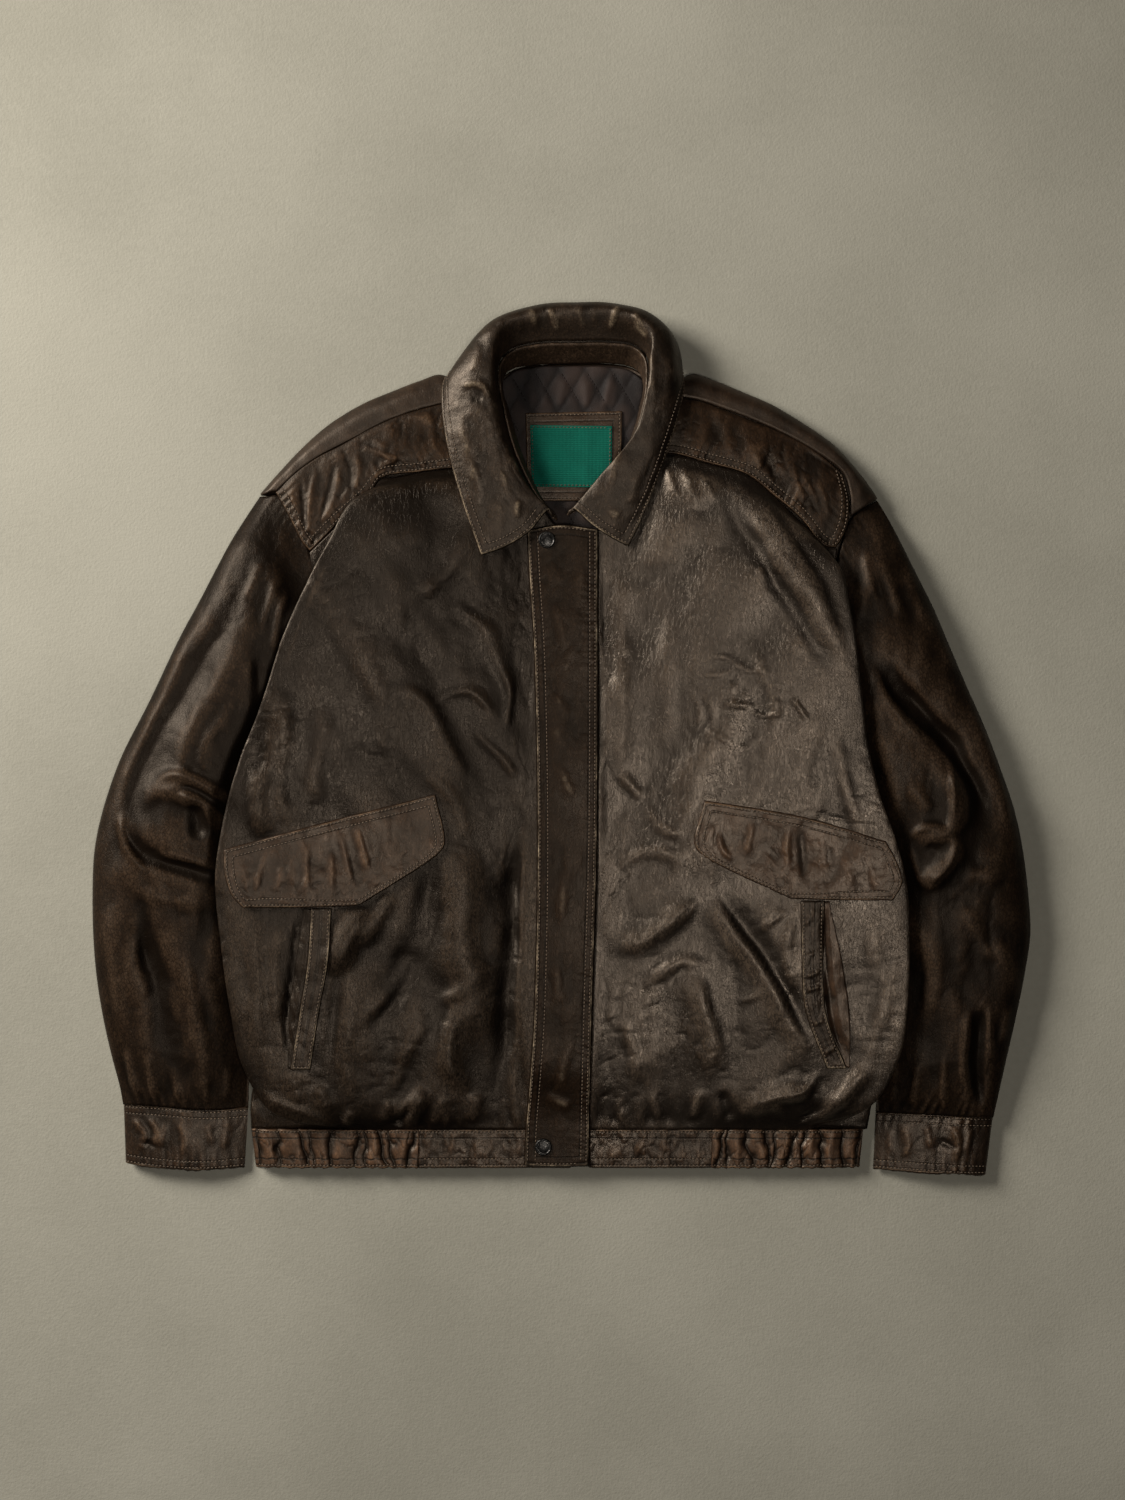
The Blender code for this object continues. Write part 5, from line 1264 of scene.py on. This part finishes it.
def make_placket():
    """Long double strip over the meeting fronts; returns its top for the snaps."""
    plan = patch(PLACKET_TOP, PLACKET_HEM, PLACKET_FREE, PLACKET_SEWN, (36, 320))
    across = np.linspace(0, 1, plan.shape[1])
    relief = folds(plan, PLACKET_FOLDS, 2.4) + 0.7 * uneven(plan, 18, 34, 2.4)
    relief += 0.15 * uneven(plan, 6, 9, 4.9) + 0.25 * creases(plan, 16, 6.3, 5.0)
    height = band_level(plan[..., 1]) + CLEARANCE + FOLDED_LEATHER + 0.6 * np.sin(math.pi * across)[None, :]
    grid = raised(plan, height + relief)
    gathered = puckers(grid, "left", 6, 0.25, 9, 6.1) + puckers(grid, "right", 6, 0.4, 9, 7.1)
    grid[..., 2] += gathered
    cloth("placket", grid, FOLDED_LEATHER, "placket", relief + gathered,
          rows_of("left", (FIRST_ROW, 8.6), (2, 2)) + rows_of("right", (FIRST_ROW, 6.4), (2, 2))
          + rows_of("top bottom", (FIRST_ROW,), (9, 8)), "placket")
    return tree_of(grid)


BAND_ROWS = [1129.8, 1142, 1155, 1167]
BAND_FOLDS = [
    (0.9, 4, 5, 475, 1128, 482, 1160), (0.8, 4, 5, 640, 1130, 636, 1160),
    (0.8, 4, 4, 676, 1130, 684, 1162),
]
VALLEYS_RIGHT = [-0.05, 0.04, 0.15, 0.20, 0.31, 0.36, 0.48, 0.60, 0.65, 0.78, 0.90, 1.05]
VALLEYS_LEFT = [-0.05, 0.06, 0.11, 0.22, 0.33, 0.38, 0.50, 0.56, 0.68, 0.80, 0.92, 1.05]
BULGE = 3.6


def make_bands():
    """Plain pieces at the front, gathered pieces that curl round the sides, and the back band."""
    level = BAND_HEIGHT
    rows = np.interp(np.linspace(0, 3, 31), range(4), BAND_ROWS)
    for name, start, end, seed in (("band_front_right", 570, 419, 3.8),
                                   ("band_front_left", 590, 711.5, 6.4)):
        across = np.linspace(start, end, 113)
        plan = np.stack(np.meshgrid(across, rows), axis=-1)
        relief = 1.2 * uneven(plan, 14, 20, seed) + 0.7 * uneven(plan, 5, 9, seed + 1)
        relief += 0.7 * creases(plan, 10, seed + 2, 6.0)
        relief += folds(plan, BAND_FOLDS)
        cloth(name, raised(plan, level - 0.4 + relief * 0.8), LEATHER, "cuff", relief,
              rows_of("top", (FIRST_ROW,), (1, 1)) + rows_of("bottom", trims=(1, 1)), "bands")
    profile = [(0, level), (0.25, level), (0.5, level), (0.72, level - 0.6), (0.88, level - 2),
               (0.965, level - 4.5), (1, level - 7.5), (0.97, 4.6)]
    for name, start, end, valleys, seed in (("band_elastic_right", 418, 251, VALLEYS_RIGHT, 1.7),
                                            ("band_elastic_left", 712.5, 864, VALLEYS_LEFT, 5.2)):
        section = through([(start + (end - start) * share, z) for share, z in profile],
                          [56, 56, 50, 36, 20, 16, 6])
        run = np.linspace(0, 1, len(section))
        down = np.linspace(0, 1, len(rows))
        plan = np.stack(np.meshgrid(run * 160, rows), axis=-1)
        bend = 0.040 * uneven(plan, 30, 22, seed) + 0.012 * uneven(plan, 9, 9, seed + 3)
        ripple = np.zeros(plan.shape[:2])
        leaning = [valley + 0.05 * math.sin(5.1 * number + seed) * (down[:, None] - 0.5)
                   for number, valley in enumerate(valleys)]
        for first, last, near, far in zip(valleys[:-1], valleys[1:], leaning[:-1], leaning[1:]):
            share = (run[None, :] + bend - near) / (far - near)
            arch = np.sin(math.pi * np.clip(share, 0, 1))**0.6
            ripple += BULGE * min(1, (last - first) / 0.11) * arch * (share > 0) * (share < 1)
        ripple += 0.9 * uneven(plan, 7, 22, seed + 2) + 0.8 * creases(plan, 9, seed + 6, 6.0) - 0.6 * BULGE
        ripple *= ease((1 - run) / 0.10)[None, :] * (0.75 + 0.35 * np.sin(math.pi * down))[:, None]
        narrowing = 1 - 0.025 * (rows - rows[0]) / (rows[-1] - rows[0])
        x = start + (section[None, :, 0] - start) * narrowing[:, None]
        lip = 1.2 * np.sin(2 * math.pi * run * 15 + seed)[None, :] * ease((down - 0.8) / 0.2)[:, None]
        grid = raised(np.dstack([x, rows[:, None] + 0.4 * lip]), section[None, :, 1] + ripple - 0.3)
        cloth(name, grid, LEATHER, "gathered", ripple,
              rows_of("top bottom", (FIRST_ROW,), (1, 6)), "bands")
    plan = np.stack(np.meshgrid(np.linspace(256, 858, 241), rows[::2]), axis=-1)
    cloth("band_back", raised(plan[:, ::-1]), FOLDED_LEATHER, "gathered",
          0.8 * uneven(plan, 5, 40, 2.0), outer="down")


# Pockets
TRIM_GAP = 0.8
FLAP_LIFT = 2.4


def trim_piece(name, edges, steps, ground, thickness, look, slot, lines, seed, seams, lift=0.0):
    """Trim laid on a front, with its own folds; its grid is its outer side."""
    plan = patch(*edges, steps)
    grid = laid_on(raised(plan), ground, TRIM_GAP + thickness)
    relief = 0.85 * folds(plan, lines, seed, 1.6) + 0.8 * uneven(plan, 18, 18, seed)
    relief += 0.2 * uneven(plan, 6, 8, seed + 2) + 0.1 * uneven(plan, 3.5, 3.5, seed + 3)
    relief += 0.4 * creases(plan, 12, seed + 5)
    grid[..., 2] += relief + lift * ease(np.linspace(0, 1, grid.shape[0]) / 0.8)[:, None]
    cloth(name, grid, thickness, look, relief, seams, "pockets")


FLAP_RIGHT_FOLDS = [
    (1.4, 3.5, 4, 273, 848, 264, 872, 258, 896), (1.5, 3, 3.5, 308, 838, 309, 866, 311, 896),
    (2.3, 2.6, 4.5, 359, 824, 366, 850, 372, 874), (1.3, 2.6, 3.5, 342, 830, 350, 862, 356, 886),
    (0.9, 3, 3, 286, 862, 282, 892), (1.0, 2.6, 3.5, 334, 848, 335, 892), (0.8, 3, 3, 295, 850, 297, 890),
    (0.7, 3, 3, 246, 860, 252, 895),
]
FLAP_LEFT_FOLDS = [
    (1.2, 3, 4, 752, 818, 745, 856), (1.2, 3, 4, 786, 826, 784, 872),
    (0.9, 3, 3, 715, 830, 722, 850, 735, 860), (-1.2, 4, 4, 798, 826, 800, 872, 796, 886),
    (0.9, 3, 3, 778, 848, 790, 858), (0.8, 5, 6, 840, 850, 850, 888), (0.7, 4, 5, 820, 834, 822, 880),
    (0.8, 3, 3, 760, 850, 775, 868), (0.7, 4, 4, 865, 860, 872, 890),
]
WELT_LEFT_FOLDS = [
    (1.1, 2, 2.4, 802, 975, 818, 968), (1.3, 2, 2.4, 803, 988, 818, 984),
    (0.9, 2, 2.4, 804, 955, 817, 946), (1.0, 2, 2.4, 810, 1022, 822, 1016),
    (1.0, 2, 2.4, 820, 1052, 836, 1042), (0.9, 2.4, 2.4, 803, 925, 812, 905),
]


def make_pockets(right_front, left_front):
    """Flaps, welts and the facings that show in the slits, each laid on its front."""
    all_round = rows_of("top bottom left right")
    welt_seams = rows_of("left right bottom", (FIRST_ROW,), (1, 1))
    flap = (LEATHER, "trim", "trim_leather")
    welt = (LEATHER, "collar", "front_leather")
    edges = edges_of([(229, 849), (330, 822), (436, 795)], [(248, 905), (300, 905), (361, 903)],
                     [(230, 872), (237, 893)], [(445, 842), (440, 851)])
    trim_piece("flap_right", edges, (130, 64), right_front, *flap, FLAP_RIGHT_FOLDS, 3.6, all_round,
               FLAP_LIFT)
    edges = edges_of([(704, 801), (800, 817), (881, 841)], [(788, 896), (840, 897.5), (888, 897.5)],
                     [(694, 842), (700, 852)], [(892, 862), (897, 880)])
    trim_piece("flap_left", edges, (130, 64), left_front, *flap, FLAP_LEFT_FOLDS, 7.9, all_round,
               FLAP_LIFT)
    edges = edges_of([(314.5, 907.5), (333.5, 907.5)], [(294, 1066), (312.5, 1066)],
                     [(311, 960), (303, 1010)], [(330, 960), (321, 1010)])
    trim_piece("welt_right", edges, (16, 110), right_front, *welt, [], 1.2, welt_seams)
    edges = edges_of([(307, 907.5), (313.5, 907.5)], [(291.5, 1065), (293, 1065)],
                     [(299, 960), (292, 1010)], [(310, 960), (302, 1010)])
    trim_piece("pocket_facing_right", edges, (8, 80), right_front, THIN_LEATHER, "front_right",
               "trim_leather", [], 1.4, ())
    edges = edges_of([(799, 900), (821, 900)], [(825, 1065), (843, 1065)],
                     [(800, 960), (803, 1005)], [(820, 960), (823, 1012)])
    trim_piece("welt_left", edges, (18, 120), left_front, *welt, WELT_LEFT_FOLDS, 2.1, welt_seams)
    edges = edges_of([(822, 900), (826, 900)], [(844, 1064), (846.5, 1064)],
                     [(821, 960), (824, 1012)], [(839, 960), (846.5, 1012)])
    trim_piece("pocket_facing_left", edges, (14, 80), left_front, THIN_LEATHER, "trim", "trim_leather",
               [], 4.1, ())


# Neck
QUILT_WIDTH = 26.0
QUILT_SLOPE = 0.6
QUILT_HEIGHT = 1.1
QUILT_ROWS = (372, 530, 1.5)
QUILT_SIDES = (512, 636)
LABEL_ROWS = (404, 506)
LABEL_SIDES = (520, 628)
LINING_FOLDS = [
    (0.9, 4, 4, 541, 372, 548, 414), (0.8, 4, 4, 566, 374, 560, 412), (0.9, 4, 4, 585, 378, 588, 412),
    (0.9, 4, 4, 610, 376, 604, 412), (0.8, 4, 4, 536, 500, 548, 525), (0.8, 4, 4, 590, 498, 580, 525),
]


LABEL_FOLDS = [(1, 5, 5, 552, 426, 556, 486), (1, 5, 5, 592, 426, 586, 486)]


def quilt_line(ground, number, slope):
    """Note the stitches of one quilting line, from neck to label and from label to front."""
    lines = [[]]
    for down in np.arange(*QUILT_ROWS):
        across = QUILT_WIDTH * number - slope * down
        spot = to_mm([(across, down, 0)])[0]
        on_label = LABEL_ROWS[0] < down < LABEL_ROWS[1] and LABEL_SIDES[0] < across < LABEL_SIDES[1]
        if QUILT_SIDES[0] < across < QUILT_SIDES[1] and not on_label:
            height = height_at(ground, spot)
            if height is not None:
                lines[-1].append((spot[0], spot[1], height))
        elif len(lines[-1]) > 3:
            lines.append([])
    for line in lines:
        if len(line) > 3:
            sew_line("stitching_lining", np.array(line), np.repeat([[0, 0, 1.0]], len(line), axis=0))


def make_lining(back):
    """Quilted lining that shows in the neck, and the label with its leather backing on it."""
    over_back = 2 * LINING + 2 * CLEARANCE
    plan = patch(*edges_of([(503, 381), (518, 370), (575, 366), (628, 370), (643, 381)],
                           [(505, 560), (640, 560)], [(500, 470)], [(646, 470)]), (90, 110))
    quilt = 1.0
    for slope in (QUILT_SLOPE, -QUILT_SLOPE):
        quilt = quilt * np.abs(np.sin(math.pi * (plan[..., 0] + plan[..., 1] * slope) / QUILT_WIDTH))
    grid = laid_on(raised(plan), back, over_back)
    under_label = ease((plan[..., 1] - 402) / 8) * ease((508 - plan[..., 1]) / 8)
    soft = folds(plan, LINING_FOLDS) + 0.3 * uneven(plan, 7, 14, 5.5)
    relief = QUILT_HEIGHT * quilt**0.4 + soft * (1 - under_label)
    grid[..., 2] += relief
    cloth("lining", grid, LINING, "lining", relief)
    ground = tree_of(grid)
    for number in range(-12, 16):
        for slope in (QUILT_SLOPE, -QUILT_SLOPE):
            quilt_line(ground, number, slope)
    level = over_back + QUILT_HEIGHT + 0.4 + THIN_LEATHER
    plan = patch(*edges_of([(526, 413), (622, 411)], [(528, 500), (620, 500)]), (60, 54))
    relief = 0.25 * uneven(plan, 18, 18, 3.0) + 0.1 * uneven(plan, 4, 4, 3.5)
    cloth("label_backing", raised(plan, level + relief), THIN_LEATHER, "trim", relief,
          rows_of("top bottom left right", (FIRST_ROW,)), "label")
    level += WOVEN + 0.6
    plan = patch(*edges_of([(530.5, 425), (612, 426)], [(532, 486), (611, 487)]), (80, 60))
    relief = 0.2 * uneven(plan, 14, 20, 1.0) + 0.25 * folds(plan, LABEL_FOLDS)
    cloth("label", raised(plan, level + relief), WOVEN, "label", relief,
          rows_of("top bottom left right", (1.4,)), "label")


# Snaps
SNAP_PLACES = {"snap_top": (547, 541, 0), "snap_bottom": (543.5, 1146, 0)}
SNAP_SIDES = 64
# Height and share of the radius, from the foot over the rolled rim to the dome inside the sunk ring
SNAP_PROFILE = [
    (0.0, 0.90), (0.25, 0.96), (0.6, 0.995), (1.1, 1.0), (1.6, 0.99), (2.0, 0.95), (2.3, 0.89),
    (2.35, 0.84), (2.2, 0.79), (1.95, 0.75), (1.85, 0.70), (1.95, 0.64), (2.1, 0.54), (2.25, 0.42),
    (2.35, 0.28), (2.4, 0.14),
]


def make_snaps(placket):
    """Domed caps with a rolled rim and a sunk ring, turned about their own axis and set on the placket."""
    turn = np.arange(SNAP_SIDES) * 2 * math.pi / SNAP_SIDES
    circle = SNAP_DIAMETER / 2 * np.column_stack([np.cos(turn), np.sin(turn), 0 * turn])
    body = numbered(len(SNAP_PROFILE), SNAP_SIDES, 1, True)
    foot = [(0, b, a) for a, b in zip(body[0, :-1].tolist(), body[0, 1:].tolist())]
    last = len(SNAP_PROFILE) * SNAP_SIDES + 1
    crown = [(a, b, last) for a, b in zip(body[-1, :-1].tolist(), body[-1, 1:].tolist())]
    for node, place in SNAP_PLACES.items():
        centre = to_mm([place])[0]
        centre[2] = np.mean([height_at(placket, centre + spot) for spot in circle[::4]]) - 0.1
        rings = [centre + share * circle + (0, 0, z) for z, share in SNAP_PROFILE]
        points = np.concatenate([[centre]] + rings + [[centre + (0, 0, SNAP_PROFILE[-1][0])]])
        item = part_of(node + "_cap", points, foot + quads(body).tolist() + crown, LOOKS["metal"])
        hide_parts(node)


# Floor, light and camera
VIEW_HEIGHT = 1.320
CAMERA_HEIGHT = 2.4
FOCUS_HEIGHT = 0.012
VIEW_CENTRE = (0.001, -0.0092)


def make_setting():
    bpy.ops.mesh.primitive_plane_add(size=8, location=(0, 0, -0.0004))
    floor = bpy.context.object
    floor.name = "floor"
    look = Look("floor")
    tone = look.add(look.noise(2.2, 4, 0.6), look.times(look.noise(160, 3, 0.6), 0.25))
    look.set(Base_Color=look.mix(look.ramp(tone, 0.35, 0.85), colour(0.27, 0.256, 0.208),
                                 colour(0.36, 0.342, 0.283)), Roughness=0.9)
    look.bump(look.noise(420, 3), 0.0006, 0.6)
    floor.data.materials.append(look.material)
    for name, place, size, power, tint in (
            ("key", (-1.92, 1.08, 1.28), 1.00, 98, (1.0, 0.96, 0.89)),
            ("sheen", (0.18, -0.27, 2.90), 0.50, 18, (1.0, 0.95, 0.88))):
        light = bpy.data.lights.new(name, "AREA")
        light.size = size
        light.energy = power
        light.color = tint
        item = bpy.data.objects.new(name, light)
        item.location = place
        item.rotation_euler = (-Vector(place)).to_track_quat("-Z", "Y").to_euler()
        bpy.context.collection.objects.link(item)
    world = bpy.data.worlds.new("studio")
    world.use_nodes = True
    background = world.node_tree.nodes["Background"]
    background.inputs[0].default_value = colour(0.92, 0.95, 1.0)
    background.inputs[1].default_value = 0.012
    bpy.context.scene.world = world
    camera_data = bpy.data.cameras.new("camera")
    camera = bpy.data.objects.new("camera", camera_data)
    camera.location = (*VIEW_CENTRE, CAMERA_HEIGHT)
    camera_data.sensor_width = 36
    camera_data.lens = 36 * (CAMERA_HEIGHT - FOCUS_HEIGHT) / VIEW_HEIGHT
    bpy.context.collection.objects.link(camera)
    bpy.context.scene.camera = camera
    bpy.context.scene.view_settings.view_transform = "Standard"


def main():
    make_setting()
    back = make_back()
    right_front, left_front = make_fronts()
    make_yokes()
    make_sleeves()
    make_cuffs()
    make_collar()
    placket = make_placket()
    make_bands()
    make_pockets(right_front, left_front)
    make_lining(back)
    make_snaps(placket)
    for group in THREADS:
        make_stitches(group, LOOKS["lining" if group == "stitching_lining" else "thread"])


main()
